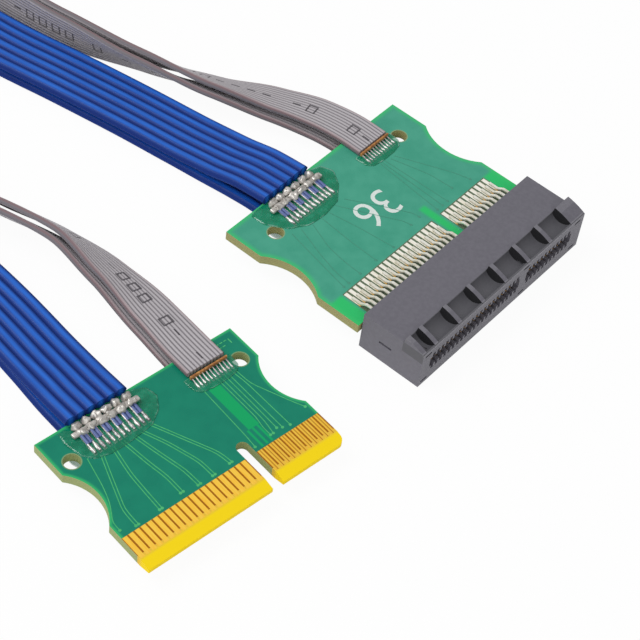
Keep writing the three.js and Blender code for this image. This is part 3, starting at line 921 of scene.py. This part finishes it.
@dataclass
class FlatCable:
    """Two flat cables that run as a pair, one above the other, from the socket board to the plug board."""

    name: str
    route: tuple[tuple[float, float, float, float, float], ...]
    cores: int
    pitch: float
    width: float
    thickness: float
    lobe: float
    points_a_lobe: int
    finish: JacketFinish
    slot: Slot
    steps: int
    stiffness: str
    axis: AxisCurve = field(init=False)

    def __post_init__(self) -> None:
        """Lays the pair's axis."""
        points = []
        for x, y, lift, turn, gap in self.route:
            angle = math.radians(turn)
            height = self.width / 2 * abs(math.sin(angle)) + (gap + self.thickness) * math.cos(angle)
            points.append(Vector((x, y, lift + height)))
        self.axis = AxisCurve(points)

    def blend(self, column: int, t: float) -> float:
        """Gives a value between the route's listed ones.

        Args:
            column: Which of a point's numbers.
            t: Place along the list, 0 to 1.

        Returns:
            The value there.
        """
        place = t * (len(self.route) - 1)
        index = min(int(place), len(self.route) - 2)
        part = place - index
        eased = 0.5 * part * part * (3 - 2 * part) + 0.5 * part
        low, high = self.route[index][column], self.route[index + 1][column]
        return low + (high - low) * eased

    def station(self, t: float, side: int) -> Matrix:
        """Gives the frame of one cable of the pair.

        Args:
            t: Place along the list, 0 to 1.
            side: 1 for the upper cable and -1 for the lower one.

        Returns:
            Its frame, with X across, Y up and Z along.
        """
        tangent = self.axis.tangent(t)
        right = tangent.cross(Vector((0, 0, 1))).normalized()
        up = right.cross(tangent)
        turn = math.radians(self.blend(3, t))
        normal = up * math.cos(turn) + right * math.sin(turn)
        across = right * math.cos(turn) - up * math.sin(turn)
        centre = self.axis.at(t) + normal * side * (self.blend(4, t) + self.thickness / 2)
        frame = Matrix((across, normal, tangent)).transposed().to_4x4()
        frame.translation = centre
        return frame

    def section(self) -> list[tuple[float, float]]:
        """Gives the section: a row of round lobes with a groove between each two."""
        top = []
        valley = self.thickness / 2 - self.lobe
        for core in range(self.cores):
            middle = (core - (self.cores - 1) / 2) * self.pitch
            for step in range(self.points_a_lobe):
                part = step / self.points_a_lobe * 2 - 1
                rise = self.lobe * math.sqrt(max(0.0, 1 - part ** 2))
                top.append((middle + part * self.pitch / 2, valley + rise))
        edge = self.cores * self.pitch / 2
        top[0] = (-edge, valley * 0.8)
        top.append((edge, valley * 0.8))
        rim = (self.width / 2 - edge) if self.width / 2 > edge + 0.02 else 0.02
        right = [(edge + rim, valley * 0.3), (edge + rim, -valley * 0.3)]
        left = [(-edge - rim, -valley * 0.3), (-edge - rim, valley * 0.3)]
        return [*top, *right, *[(x, -z) for x, z in reversed(top)], *left]

    def build(self, face: Face, material: bpy.types.Material) -> bpy.types.Object:
        """Builds one cable of the pair, and logs its length.

        Args:
            face: Which of the two.
            material: Its finish.

        Returns:
            The cable's piece.
        """
        side = 1 if face is Face.TOP else -1
        stations = [self.station(step / self.steps, side) for step in range(self.steps + 1)]
        centres = [frame.translation.copy() for frame in stations]
        along = [0.0]
        for before, after in zip(centres, centres[1:]):
            along.append(along[-1] + (after - before).length)
        shape = Shape()
        shape.sweep(self.section(), stations, along)
        made = shape.piece(f"{self.name}_cable_{face.value}", material, self.slot, Matrix.Identity(4), 50.0)
        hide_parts(f"{self.name}_ribbon_{face.value}")
        tuple(centres[0] * MM)
        self.width * MM
        [tuple(point * MM) for point in centres]
        LOG.info("%s: %.1f mm long", made.name, along[-1])
        return made


@dataclass
class CableEnd:
    """What ends the blue and the grey cable on one face of a board."""

    board: str
    face: Face
    rear: float
    place: Matrix
    twin_x: float = -11.8
    twin_cores: int = 6
    twin_pitch: float = 1.68
    wire_pitch: float = 0.83
    wire_radius: float = 0.2
    wire_end: float = 6.1
    bar_length: float = 11.3
    bar_to_rear: float = 2.4
    blob_to_rear: float = 1.35
    flat_x: float = 4.8
    flat_cores: int = 11
    flat_pitch: float = 0.6
    flat_jacket: float = 3.7
    flat_end: float = 5.75
    fit: float = 0.3
    twin_film: tuple[tuple[float, float], ...] = (
        (-19.75, 0.25), (-19.75, 2.95), (-17.7, 6.3), (-15.2, 7.75), (-11.4, 8.05), (-8.1, 7.55),
        (-5.2, 5.45), (-3.5, 2.95), (-4.1, 0.9), (-6.0, 0.25))
    flat_film: tuple[tuple[float, float], ...] = (
        (0.7, 3.6), (0.8, 5.8), (1.6, 6.7), (3.4, 6.95), (6.2, 6.95), (8.0, 6.6), (8.9, 5.7), (9.0, 3.6))

    def frame(self) -> Matrix:
        """Gives the frame of this face, mirrored below the board."""
        if self.face is Face.TOP:
            return self.place
        return self.place @ Matrix.Translation((0, 0, -1.57)) @ Matrix.Scale(-1, 4, (0, 0, 1))

    def label(self, piece: str) -> str:
        """Names a piece of this face."""
        return f"{self.board}_{piece}_{self.face.value}"

    def twin_wires(self, wire: bpy.types.Material, solder: bpy.types.Material, skin: bpy.types.Material) -> None:
        """Builds the twelve wires of the blue cable, their insulation, the ground bar and the soldered shields.

        Args:
            wire: Finish of the wires and their pads.
            solder: Finish of the bar and the solder.
            skin: Finish of the insulation.
        """
        leads = Shape()
        bar_y = self.rear - self.bar_to_rear
        tip = self.rear - self.wire_end
        for index in range(2 * self.twin_cores):
            x = self.twin_x + (index - self.twin_cores + 0.5) * self.wire_pitch
            leads.block((x - 0.27, tip - 0.25, 0.0), (x + 0.27, tip + 1.7, 0.06), 0.02, 1)
            leads.rod(Vector((x, tip, 0.24)), Vector((x, tip + 1.6, 0.26)), self.wire_radius)
            leads.rod(Vector((x, tip + 1.5, 0.26)), Vector((x, bar_y, 0.55)), self.wire_radius)
            leads.ball(Vector((x, tip + 0.75, 0.18)), (0.3, 0.75, 0.22), 0.2)
        made = leads.piece(self.label("twin_leads"), wire, Slot.METAL, self.frame())
        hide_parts(self.label("twin_wires"))
        joints = Shape()
        half = self.bar_length / 2
        joints.block((self.twin_x - half, bar_y - 0.45, 0.35), (self.twin_x + half, bar_y + 0.45, 0.92), 0.22, 3)
        for core in range(self.twin_cores):
            x = self.twin_x + (core - (self.twin_cores - 1) / 2) * self.twin_pitch
            joints.ball(Vector((x, self.rear - self.blob_to_rear, 0.6)), (0.76, 0.66, 0.74), 0.5)
            joints.ball(Vector((x + 0.1, bar_y - 0.1, 0.75)), (0.86, 0.62, 0.5), 0.7)
        joints.piece(self.label("twin_solder"), solder, Slot.METAL, self.frame(), 60.0)
        sleeves = Shape()
        for index in range(2 * self.twin_cores):
            x = self.twin_x + (index // 2 - (self.twin_cores - 1) / 2) * self.twin_pitch + (index % 2 - 0.5) * 0.56
            sleeves.rod(Vector((x, bar_y - 2.0, 0.3)), Vector((x, bar_y - 0.2, 0.56)), 0.27, 12)
        sleeves.piece(self.label("twin_sleeves"), skin, Slot.BLUE, self.frame())

    def flat_wires(self, wire: bpy.types.Material, film: bpy.types.Material) -> None:
        """Builds the fine wires of the grey cable and the amber film over their root.

        Args:
            wire: Finish of the wires.
            film: Finish of the film.
        """
        leads = Shape()
        root = self.rear - self.flat_jacket - self.fit
        tip = self.rear - self.flat_end
        for index in range(self.flat_cores):
            x = self.flat_x + (index - (self.flat_cores - 1) / 2) * self.flat_pitch
            leads.block((x - 0.19, tip - 0.3, 0.0), (x + 0.19, tip + 1.0, 0.05), 0.02, 1)
            leads.rod(Vector((x, tip, 0.16)), Vector((x, tip + 0.9, 0.17)), 0.13, 8)
            leads.rod(Vector((x, tip + 0.8, 0.17)), Vector((x, root + 0.1, 0.45)), 0.13, 8)
            leads.ball(Vector((x, tip + 0.35, 0.12)), (0.2, 0.45, 0.16), 0.2)
        made = leads.piece(self.label("flat_leads"), wire, Slot.METAL, self.frame())
        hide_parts(self.label("flat_wires"))
        strip = Shape()
        half = self.flat_cores * self.flat_pitch / 2
        strip.block((self.flat_x - half, root - 0.2, 0.3), (self.flat_x + half, root + 0.12, 0.9), 0.1, 3)
        strip.piece(self.label("flat_film"), film, Slot.GREY, self.frame())

    def mound(self, name: str, low: tuple[float, float], high: tuple[float, float], height: float,
              resin: bpy.types.Material) -> bpy.types.Object:
        """Builds a low, soft-edged mound of resin.

        Args:
            name: The piece's name.
            low: Its lowest corner.
            high: Its highest corner.
            height: Its height.
            resin: Its finish.

        Returns:
            The mound's piece.
        """
        shape = Shape()
        made = bmesh.ops.create_uvsphere(shape.mesh, u_segments=56, v_segments=24, radius=1.0)
        centre = Vector(((low[0] + high[0]) / 2, (low[1] + high[1]) / 2, 0.0))
        half = Vector(((high[0] - low[0]) / 2, (high[1] - low[1]) / 2, height))
        for vert in made["verts"]:
            flat = Vector((vert.co.x, vert.co.y))
            reach = flat.length
            rise = max(vert.co.z, 0.0) ** 0.7
            if reach > 1e-6:
                square = max(abs(flat.x), abs(flat.y)) / reach
                flat *= (1 / square - 1) * 0.72 + 1
            ripple = 1 + 0.05 * noise.noise(Vector((flat.x * 1.7, flat.y * 1.7, 4.2 + centre.x)))
            vert.co = centre + Vector((flat.x * half.x * ripple, flat.y * half.y * ripple, rise * half.z + 0.01))
        return shape.piece(name, resin, Slot.POTTING, self.frame(), 80.0)

    def film(self, name: str, outline: Sequence[tuple[float, float]], height: float,
             resin: bpy.types.Material) -> bpy.types.Object:
        """Builds a thin film of resin inside an outline.

        Args:
            name: The piece's name.
            outline: Its corners, along X and forwards from the board's rear edge.
            height: Its height.
            resin: Its finish.

        Returns:
            The film's piece.
        """
        shape = Shape()
        corners = [Vector((x, self.rear - y)) for x, y in outline]
        centre = sum(corners, Vector((0.0, 0.0))) / len(corners)
        made = bmesh.ops.create_uvsphere(shape.mesh, u_segments=96, v_segments=22, radius=1.0)
        for vert in made["verts"]:
            flat = Vector((vert.co.x, vert.co.y))
            rise = max(vert.co.z, 0.0) ** 0.45
            ripple = noise.noise(Vector((flat.x * 1.5, flat.y * 1.5, 2.0 + centre.x)))
            spread = self.reach(corners, centre, flat) * (1 + 0.04 * ripple) if flat.length > 1e-6 else 0.0
            place = centre + flat * spread
            vert.co = Vector((*place, rise * height * (1 + 0.25 * ripple) + 0.01))
        return shape.piece(name, resin, Slot.POTTING, self.frame(), 80.0)

    @staticmethod
    def reach(corners: Sequence[Vector], centre: Vector, way: Vector) -> float:
        """Measures from the centre of an outline to its edge.

        Args:
            corners: The outline.
            centre: A point inside it.
            way: The direction.

        Returns:
            The distance.
        """
        ahead = way.normalized()
        for start, end in zip(corners, [*corners[1:], corners[0]]):
            side, offset = end - start, start - centre
            cross = ahead.x * side.y - ahead.y * side.x
            if abs(cross) < 1e-9:
                continue
            distance = (offset.x * side.y - offset.y * side.x) / cross
            part = (offset.x * ahead.y - offset.y * ahead.x) / cross
            if distance > 0 and -1e-6 <= part <= 1 + 1e-6:
                return distance
        return 0.0

    def potting(self, resin: bpy.types.Material) -> None:
        """Builds the potting of this face: a thin film on top, and mounds underneath."""
        half = self.bar_length / 2
        fine = self.flat_cores * self.flat_pitch / 2
        if self.face is Face.TOP:
            tall = self.film(self.label("twin_resin"), self.twin_film, 0.27, resin)
            low = self.film(self.label("flat_resin"), self.flat_film, 0.22, resin)
        else:
            tall = self.mound(self.label("twin_resin"),
                              (self.twin_x - half - 1.5, self.rear - self.wire_end - 1.5),
                              (self.twin_x + half + 1.5, self.rear - 0.3), 1.9, resin)
            low = self.mound(self.label("flat_resin"),
                             (self.flat_x - fine - 1.0, self.rear - self.flat_end - 1.0),
                             (self.flat_x + fine + 1.0, self.rear - self.flat_jacket + 0.3), 0.68, resin)
        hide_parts(self.label("twin_potting"))
        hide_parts(self.label("flat_potting"))


@dataclass
class Tracks:
    """Copper tracks under the mask of one face of a board."""

    board: str
    face: Face
    frame: Matrix
    pairs: tuple[tuple[tuple[float, float], ...], ...]
    singles: tuple[tuple[tuple[float, float], ...], ...]
    spacing: float = 0.45
    width: float = 0.14
    height: float = 0.028
    via_radius: float = 0.24

    def track(self, shape: Shape, points: Sequence[tuple[float, float]]) -> None:
        """Adds one track through its corner points.

        Args:
            shape: The mesh to add to.
            points: Its corners on the board.
        """
        path = [Vector((x, y, 0.0)) for x, y in points]
        soft = [path[0]]
        for before, corner, after in zip(path, path[1:], path[2:]):
            cut = min(0.9, (corner - before).length / 2.5, (after - corner).length / 2.5)
            soft.append(corner + (before - corner).normalized() * cut)
            soft.append(corner + ((before - corner).normalized() + (after - corner).normalized()) * cut * 0.25)
            soft.append(corner + (after - corner).normalized() * cut)
        soft.append(path[-1])
        stations = []
        for index, point in enumerate(soft):
            ahead = soft[min(index + 1, len(soft) - 1)] - soft[max(index - 1, 0)]
            forward = ahead.normalized()
            across = Vector((forward.y, -forward.x, 0.0))
            frame = Matrix((across, Vector((0, 0, 1)), forward)).transposed().to_4x4()
            frame.translation = point
            stations.append(frame)
        half = self.width / 2
        shape.sweep([(-half, -0.01), (half, -0.01), (half * 0.8, self.height), (-half * 0.8, self.height)], stations)

    def build(self, material: bpy.types.Material) -> None:
        """Builds all tracks of this face, with a small round land at each front end."""
        shape = Shape()
        half = self.spacing / 2
        lines = [*self.singles, *[[(x + lane, y) for x, y in pair] for pair in self.pairs for lane in (-half, half)]]
        for line in lines:
            self.track(shape, line)
            made = bmesh.ops.create_cone(shape.mesh, cap_ends=True, segments=14, radius1=self.via_radius,
                                         radius2=self.via_radius * 0.9, depth=self.height + 0.01)
            shape.put(made, Matrix.Translation((*line[-1], self.height / 2)))
        shape.piece(f"{self.board}_tracks_{self.face.value}", material, Slot.BOARD, self.frame, 30.0)


PLUG_PAIRS = (
    ((-15.7, 12.3), (-16.85, 9.2), (-18.9, 3.5), (-19.0, 1.5), (-19.0, 0.5)),
    ((-13.85, 12.3), (-14.7, 7.3), (-14.9, 3.5), (-15.0, 0.6)),
    ((-12.2, 12.3), (-11.65, 7.3), (-11.15, 4.2), (-11.15, 1.0)),
    ((-10.4, 12.1), (-9.7, 8.5), (-8.6, 3.5), (-8.5, 0.6)),
    ((-9.1, 12.1), (-7.6, 8.5), (-6.1, 3.5), (-6.0, 0.6)),
    ((-7.4, 12.3), (-5.5, 8.1), (-3.2, 3.1), (-2.9, 0.8)),
)
PLUG_SINGLES = (
    ((-17.7, 12.9), (-18.8, 8.1), (-19.7, 5.4), (-21.3, 2.7), (-21.3, 1.2)),
    ((2.0, 13.65), (1.6, 3.1), (1.4, 0.8)),
    ((4.8, 13.3), (4.77, 4.6), (4.4, 2.7), (4.4, 1.1)),
    ((5.35, 13.3), (5.3, 3.5), (4.9, 1.1)),
    ((6.0, 13.3), (5.95, 7.0), (5.85, 1.5)),
    ((6.6, 13.3), (6.58, 7.0), (6.55, 1.1)),
    ((7.2, 13.3), (7.6, 10.0), (7.7, 0.8)),
    ((7.8, 13.1), (8.0, 9.6), (10.6, 3.5), (11.4, 1.9)),
)
PLUG_FILM = (
    (-18.4, 0.5), (-18.7, 2.6), (-18.2, 5.2), (-16.9, 6.9), (-14.6, 7.4), (-10.6, 7.3), (-7.2, 6.9),
    (-4.9, 5.4), (-3.5, 3.2), (-3.9, 1.2), (-5.6, 0.4),
)
CORNER_MARKS = (
    (8.6, 17.6, 0.5, 0.16), (9.3, 17.6, 0.5, 0.16), (10.0, 17.6, 0.5, 0.16),
    (8.6, 16.9, 0.5, 0.16), (9.3, 16.9, 0.5, 0.16), (10.6, 17.2, 0.18, 0.9),
)
SOCKET_SINGLES = (
    ((-18.1, 13.1), (-19.1, 8.5), (-20.2, 3.1), (-20.6, 1.0)),
    ((-16.4, 12.7), (-18.3, 7.25), (-19.3, 3.5), (-19.5, 1.0)),
    ((-14.3, 12.5), (-16.2, 7.7), (-16.8, 3.9), (-16.9, 1.0)),
    ((-12.5, 12.0), (-13.0, 6.4), (-13.2, 1.0)),
    ((-10.8, 12.0), (-9.95, 6.8), (-9.3, 0.8)),
    ((-9.1, 12.5), (-6.4, 7.25), (-4.1, 3.1), (-3.9, 1.8)),
    ((-7.0, 12.25), (-4.75, 8.5), (-1.8, 3.1), (-1.7, 2.0)),
    ((2.75, 13.1), (2.1, 7.0), (1.5, 1.0)),
    ((3.2, 13.1), (3.0, 7.0), (2.75, 1.0)),
    ((3.8, 13.1), (3.9, 7.0), (4.0, 1.0)),
    ((4.8, 12.7), (6.5, 6.4), (6.7, 2.25)),
    ((5.7, 12.7), (9.4, 4.3), (10.25, 1.4)),
)


@dataclass
class Legend:
    """The plain number printed on the socket board."""

    place: Matrix
    text: str = "36"
    size: float = 7.7
    centre: tuple[float, float] = (-4.95, 7.8)
    thinning: float = -0.04

    def build(self, material: bpy.types.Material) -> None:
        """Builds the number as a thin raised print."""
        curve = bpy.data.curves.new("legend_curve", "FONT")
        curve.body = self.text
        curve.size = self.size
        curve.align_x = "CENTER"
        curve.align_y = "CENTER"
        curve.extrude = 0.012
        curve.offset = self.thinning
        curve.resolution_u = 5
        source = bpy.data.objects.new("legend_source", curve)
        bpy.context.scene.collection.objects.link(source)
        bpy.context.view_layer.update()
        data = bpy.data.meshes.new_from_object(source.evaluated_get(bpy.context.evaluated_depsgraph_get()))
        bpy.data.objects.remove(source)
        shape = Shape()
        shape.mesh.from_mesh(data)
        bpy.data.meshes.remove(data)
        turn = Matrix.Translation((*self.centre, 0.014)) @ Matrix.Rotation(math.pi, 4, "Z")
        shape.piece("socket_legend", material, Slot.BOARD, self.place @ turn, 30.0)


@dataclass
class Studio:
    """The camera, the pale floor and the soft lights."""

    eye: tuple[float, float, float] = (-176.61, -91.39, 217.57)
    right: tuple[float, float, float] = (0.64365, -0.75862, 0.10104)
    down: tuple[float, float, float] = (-0.53757, -0.54212, -0.64585)
    view: tuple[float, float, float] = (0.54473, 0.36138, -0.75675)
    focal_pixels: float = 1977.87
    frame_pixels: int = 640
    sensor: float = 36.0

    def camera(self) -> None:
        """Makes the camera at the photograph's viewing angle."""
        data = bpy.data.cameras.new("camera")
        data.sensor_width = self.sensor
        data.lens = self.focal_pixels * self.sensor / self.frame_pixels
        data.clip_start = 0.01
        made = bpy.data.objects.new("camera", data)
        bpy.context.scene.collection.objects.link(made)
        turn = Matrix((self.right, -Vector(self.down), -Vector(self.view))).transposed().to_4x4()
        made.matrix_world = Matrix.Translation(Vector(self.eye) * MM) @ turn
        bpy.context.scene.camera = made

    def light(self, name: str, place: Sequence[float], target: Sequence[float], size: float, power: float) -> None:
        """Makes one square soft light.

        Args:
            name: Its name.
            place: Where it hangs, in metres.
            target: What it faces.
            size: Its side, in metres.
            power: Its power in watts.
        """
        data = bpy.data.lights.new(name, "AREA")
        data.size = size
        data.energy = power
        made = bpy.data.objects.new(name, data)
        bpy.context.scene.collection.objects.link(made)
        made.location = place
        made.rotation_euler = (Vector(target) - Vector(place)).to_track_quat("-Z", "Y").to_euler()

    def floor(self, level: float) -> None:
        """Makes the pale floor, which shows near white and keeps a faint shadow.

        Args:
            level: Its height in metres.
        """
        graph = Graph("studio_floor")
        graph.finish(Base_Color=(0.92, 0.92, 0.92), Roughness=0.9)
        path = {key: graph.node("ShaderNodeLightPath", output=key)
                for key in ("Is Camera Ray", "Is Glossy Ray", "Is Transmission Ray")}
        seen = path["Is Camera Ray"].most(path["Is Glossy Ray"]).most(path["Is Transmission Ray"])
        glow = graph.node("ShaderNodeEmission", None, {"Color": (1.0, 1.0, 1.0), "Strength": 1.0})
        mixed = graph.node("ShaderNodeMixShader", None,
                           {0: seen * 0.95, 1: Wire(graph, graph.shader.outputs["BSDF"]), 2: glow})
        output = next(node for node in graph.tree.nodes if node.bl_idname == "ShaderNodeOutputMaterial")
        graph.tree.links.new(mixed.socket, output.inputs["Surface"])
        shape = bmesh.new()
        bmesh.ops.create_grid(shape, x_segments=1, y_segments=1, size=6.0)
        bmesh.ops.translate(shape, vec=(0.0, 0.0, level), verts=shape.verts)
        data = bpy.data.meshes.new("floor")
        shape.to_mesh(data)
        shape.free()
        data.materials.append(graph.material)
        made = bpy.data.objects.new("floor", data)
        bpy.context.scene.collection.objects.link(made)
        made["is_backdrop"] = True

    def build(self, level: float) -> None:
        """Builds the whole stage on a floor at that height."""
        self.floor(level)
        self.light("key_light", (-0.35, 0.45, 0.75), (-0.02, 0.03, 0.0), 0.6, 4.4)
        self.light("fill_light", (-0.6, -0.5, 0.5), (-0.02, 0.0, 0.0), 0.7, 1.6)
        world = bpy.data.worlds.new("studio")
        world.use_nodes = True
        world.node_tree.nodes["Background"].inputs["Color"].default_value = (1.0, 1.0, 1.0, 1.0)
        world.node_tree.nodes["Background"].inputs["Strength"].default_value = 0.46
        bpy.context.scene.world = world
        bpy.context.scene.view_settings.view_transform = "Standard"


TWIN_ROUTE = (
    (-7.2, 30.8, 1.5, 0, 0.87), (-7.25, 36.0, 1.2, 0, 0.75), (-7.4, 42.0, 0.55, 0, 0.4),
    (-8.0, 50.0, 0.1, 0, 0.2), (-9.2, 60.0, 0, 0, 0.15), (-11.1, 72.0, 0, 0, 0.15),
    (-13.5, 86.0, 0, 0, 0.15), (-15.0, 98.0, 0, 6, 0.5), (-15.5, 105.0, 0, 30, 0.5),
    (-15.6, 112.0, 0, 62, 0.5), (-15.5, 119.0, 0, 86, 0.5), (-15.8, 126.0, 0, 90, 0.15),
    (-19.5, 136.5, 0, 90, 0.15), (-27.0, 142.6, 0, 90, 0.15), (-36.5, 143.6, 0, 90, 0.15),
    (-45.5, 138.8, 0, 90, 0.15), (-50.2, 130.0, 0, 90, 0.15), (-51.0, 121.0, 0, 86, 0.5),
    (-51.0, 114.0, 0, 60, 0.5), (-50.9, 107.0, 0, 28, 0.5), (-50.8, 100.0, 0, 5, 0.5),
    (-50.7, 88.0, 0, 0, 0.15), (-50.7, 74.0, 0, 0, 0.15), (-51.2, 60.0, 0, 0, 0.15),
    (-52.4, 46.0, 0, 0, 0.15), (-54.2, 35.0, 0.05, 0, 0.3), (-55.7, 27.5, 0.3, 0, 0.7),
    (-56.55, 21.95, 0.49, 0, 0.87),
)
FLAT_ROUTE = (
    (9.4, 27.5, 2.0, 0, 0.87), (9.4, 32.0, 2.0, 0, 0.87), (8.7, 38.0, 1.7, 3, 0.75),
    (6.6, 45.0, 1.1, 12, 0.5), (2.6, 54.0, 0.5, 33, 0.35), (-1.3, 66.0, 0.1, 56, 0.3),
    (-4.6, 79.0, 0, 82, 0.25), (-6.0, 91.0, 0, 90, 0.2), (-6.2, 104.0, 0, 90, 0.2),
    (-5.6, 116.0, 0, 90, 0.2), (-5.9, 128.0, 0, 90, 0.2), (-10.5, 141.5, 0, 90, 0.2),
    (-20.5, 151.0, 0, 90, 0.2), (-34.0, 154.3, 0, 90, 0.2), (-47.5, 150.4, 0, 90, 0.2),
    (-57.3, 140.5, 0, 90, 0.2), (-61.6, 127.5, 0, 90, 0.2), (-62.6, 115.0, 0, 88, 0.2),
    (-61.6, 104.0, 1.5, 72, 0.2), (-58.0, 95.0, 3.4, 42, 0.2), (-53.0, 86.0, 3.5, 10, 0.2),
    (-48.0, 76.5, 3.5, -20, 0.2), (-43.3, 67.0, 2.0, -42, 0.2), (-39.4, 57.5, 0.4, -54, 0.25),
    (-37.2, 48.0, 0.1, -50, 0.3), (-37.3, 38.5, 0.3, -28, 0.35), (-38.5, 29.0, 0.7, -7, 0.7),
    (-39.9, 21.0, 0.98, 0, 0.87), (-40.55, 16.6, 0.98, 0, 0.87),
)


@dataclass
class RiserCable:
    """The whole object: its two boards, the socket and the four cables."""

    nodes: dict[str, bpy.types.Object]
    plug_origin: tuple[float, float, float] = (-47.5, 1.85, 3.55)
    plug_turn: float = -8.13
    plug_rear: float = 18.95
    socket_origin: tuple[float, float, float] = (4.6, 10.95, 4.55)
    socket_rear: float = 20.2

    def dress(self, node: str, material: bpy.types.Material) -> None:
        """Gives a node of the frame its finish."""
        data = self.nodes[node].data
        data.materials.clear()
        data.materials.append(material)
        LOG.info("%s: dressed", node)

    def cables(self) -> None:
        """Builds the blue and the grey pair."""
        # Each jacket's second colour is the painted highlight on its lobes.
        # Each jacket's third colour is the painted shade in its grooves.
        blue = JacketFinish("blue_jacket_skin", srgb(12, 66, 156), srgb(36, 108, 212), srgb(10, 34, 106),
                            half_width=5.04, pitch=1.68, gloss=0.3, groove_width=0.38, groove_shade_strength=0.85)
        grey = JacketFinish("grey_jacket_skin", srgb(172, 167, 171), srgb(190, 185, 189), srgb(104, 99, 105),
                            half_width=3.3, pitch=0.6, gloss=0.45, edge_line=srgb(150, 96, 96),
                            print_colour=srgb(66, 62, 68), groove_width=0.3)
        pairs = (
            FlatCable("twin", TWIN_ROUTE, 6, 1.68, 10.38, 1.4, 0.34, 7, blue, Slot.BLUE, 220, "medium"),
            FlatCable("flat", FLAT_ROUTE, 11, 0.6, 6.6, 0.9, 0.13, 5, grey, Slot.GREY, 250, "limp"),
        )
        for pair in pairs:
            material = pair.finish.make()
            for face in Face:
                pair.build(face, material)

    def boards(self) -> None:
        """Dresses both boards and the socket."""
        # The glow patches and the edge rim of each board are painted glow of light showing through it.
        plug = BoardFinish(
            "plug_board_skin", self.plug_origin, self.plug_turn, -21.95, 12.1, self.plug_rear, (2.6, 12.7),
            metal=srgb(255, 210, 78), metal_shade=srgb(255, 196, 58), mask=srgb(16, 128, 103),
            mask_light=srgb(20, 134, 107), bare=srgb(168, 104, 8), edge=srgb(168, 178, 120),
            front=srgb(255, 222, 8), gap_ends=(-3.3, 0.05), lines_from=0.0,
            glow_patches=((2.5, 4.5, 3.45, 13.65), (2.1, 2.6, 0.2, 3.6), (2.95, 3.45, 0.2, 3.6), (3.8, 4.3, 0.2, 3.6)))
        socket = BoardFinish(
            "socket_board_skin", self.socket_origin, 0.0, -24.75, 14.45, self.socket_rear, (2.4, 13.45),
            metal=srgb(255, 253, 244), metal_shade=srgb(240, 232, 212), mask=srgb(66, 158, 132),
            mask_light=srgb(76, 166, 140), bare=srgb(104, 100, 74), edge=srgb(170, 166, 112),
            front=srgb(170, 166, 112), tips=(srgb(235, 180, 60), -3.1, -2.2), field=srgb(46, 196, 110),
            glow_patch_edge=0.8, edge_glow_width=1.0, bare_rows=((-21.9, -0.95, -6.0, 0.2), (1.05, 12.0, -6.0, 0.2)),
            glow_patches=((-26.0, -21.8, -8.0, 0.6), (11.6, 16.0, -8.0, 0.6), (-1.0, 1.1, -8.0, 3.3)))
        self.dress("plug_board", plug.make())
        self.dress("socket_board", socket.make())
        self.dress("socket_housing", HousingFinish().make())

    def ends(self) -> None:
        """Builds the cable ends, the tracks and the printed number."""
        wire = LumpFinish("tinned_wire", srgb(216, 214, 210), srgb(136, 134, 138), 0.7, 0.3).make()
        solder = LumpFinish("dull_solder", srgb(222, 218, 212), srgb(170, 164, 158), 0.6, 0.3).make()
        core = LumpFinish("core_insulation", srgb(104, 120, 172), srgb(84, 100, 156), 0.0, 0.35).make()
        film = TapeFinish().make()
        places = {
            "plug": (Matrix.Translation(self.plug_origin)
                     @ Matrix.Rotation(math.radians(self.plug_turn), 4, "Z"), self.plug_rear),
            "socket": (Matrix.Translation(self.socket_origin), self.socket_rear),
        }
        resins = {"plug": PottingFinish("plug_resin_skin", colour=srgb(10, 140, 104), level=self.plug_origin[2],
                                       rim_glint_strength=0.3).make(),
                  "socket": PottingFinish("socket_resin_skin").make()}
        tracks = {
            "plug": (TraceFinish("plug_track_skin", srgb(66, 178, 108), srgb(80, 192, 120)).make(),
                     PLUG_PAIRS, PLUG_SINGLES),
            "socket": (TraceFinish("socket_track_skin", srgb(64, 144, 120), srgb(70, 150, 126)).make(),
                       (), SOCKET_SINGLES),
        }
        for board, (place, rear) in places.items():
            for face in Face:
                end = CableEnd(board, face, rear, place)
                if board == "plug":
                    end.twin_film = PLUG_FILM
                end.twin_wires(wire, solder, core)
                end.flat_wires(wire, film)
                end.potting(resins[board])
                skin, pairs, singles = tracks[board]
                Tracks(board, face, end.frame(), pairs, singles).build(skin)
        Legend(places["socket"][0]).build(InkFinish().make())
        marks = Shape()
        for x, y, wide, deep in CORNER_MARKS:
            marks.block((x - wide / 2, y - deep / 2, -0.002), (x + wide / 2, y + deep / 2, 0.014))
        marks.piece("plug_corner_marks", tracks["plug"][0], Slot.BOARD, places["plug"][0], 30.0)

    def build(self) -> None:
        """Builds the object's looks in order."""
        self.cables()
        self.boards()
        self.ends()


def main() -> None:
    """Builds the scene round the frame, on a floor just under the frame's box."""
    logging.basicConfig(level=logging.INFO, format="%(name)s %(message)s")
    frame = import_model()
    frame_box = [list(corner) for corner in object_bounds()]
    studio = Studio()
    studio.camera()
    RiserCable(frame["nodes"]).build()
    studio.build(frame_box[0][2] - 0.0001)


if __name__ == "__main__":
    main()
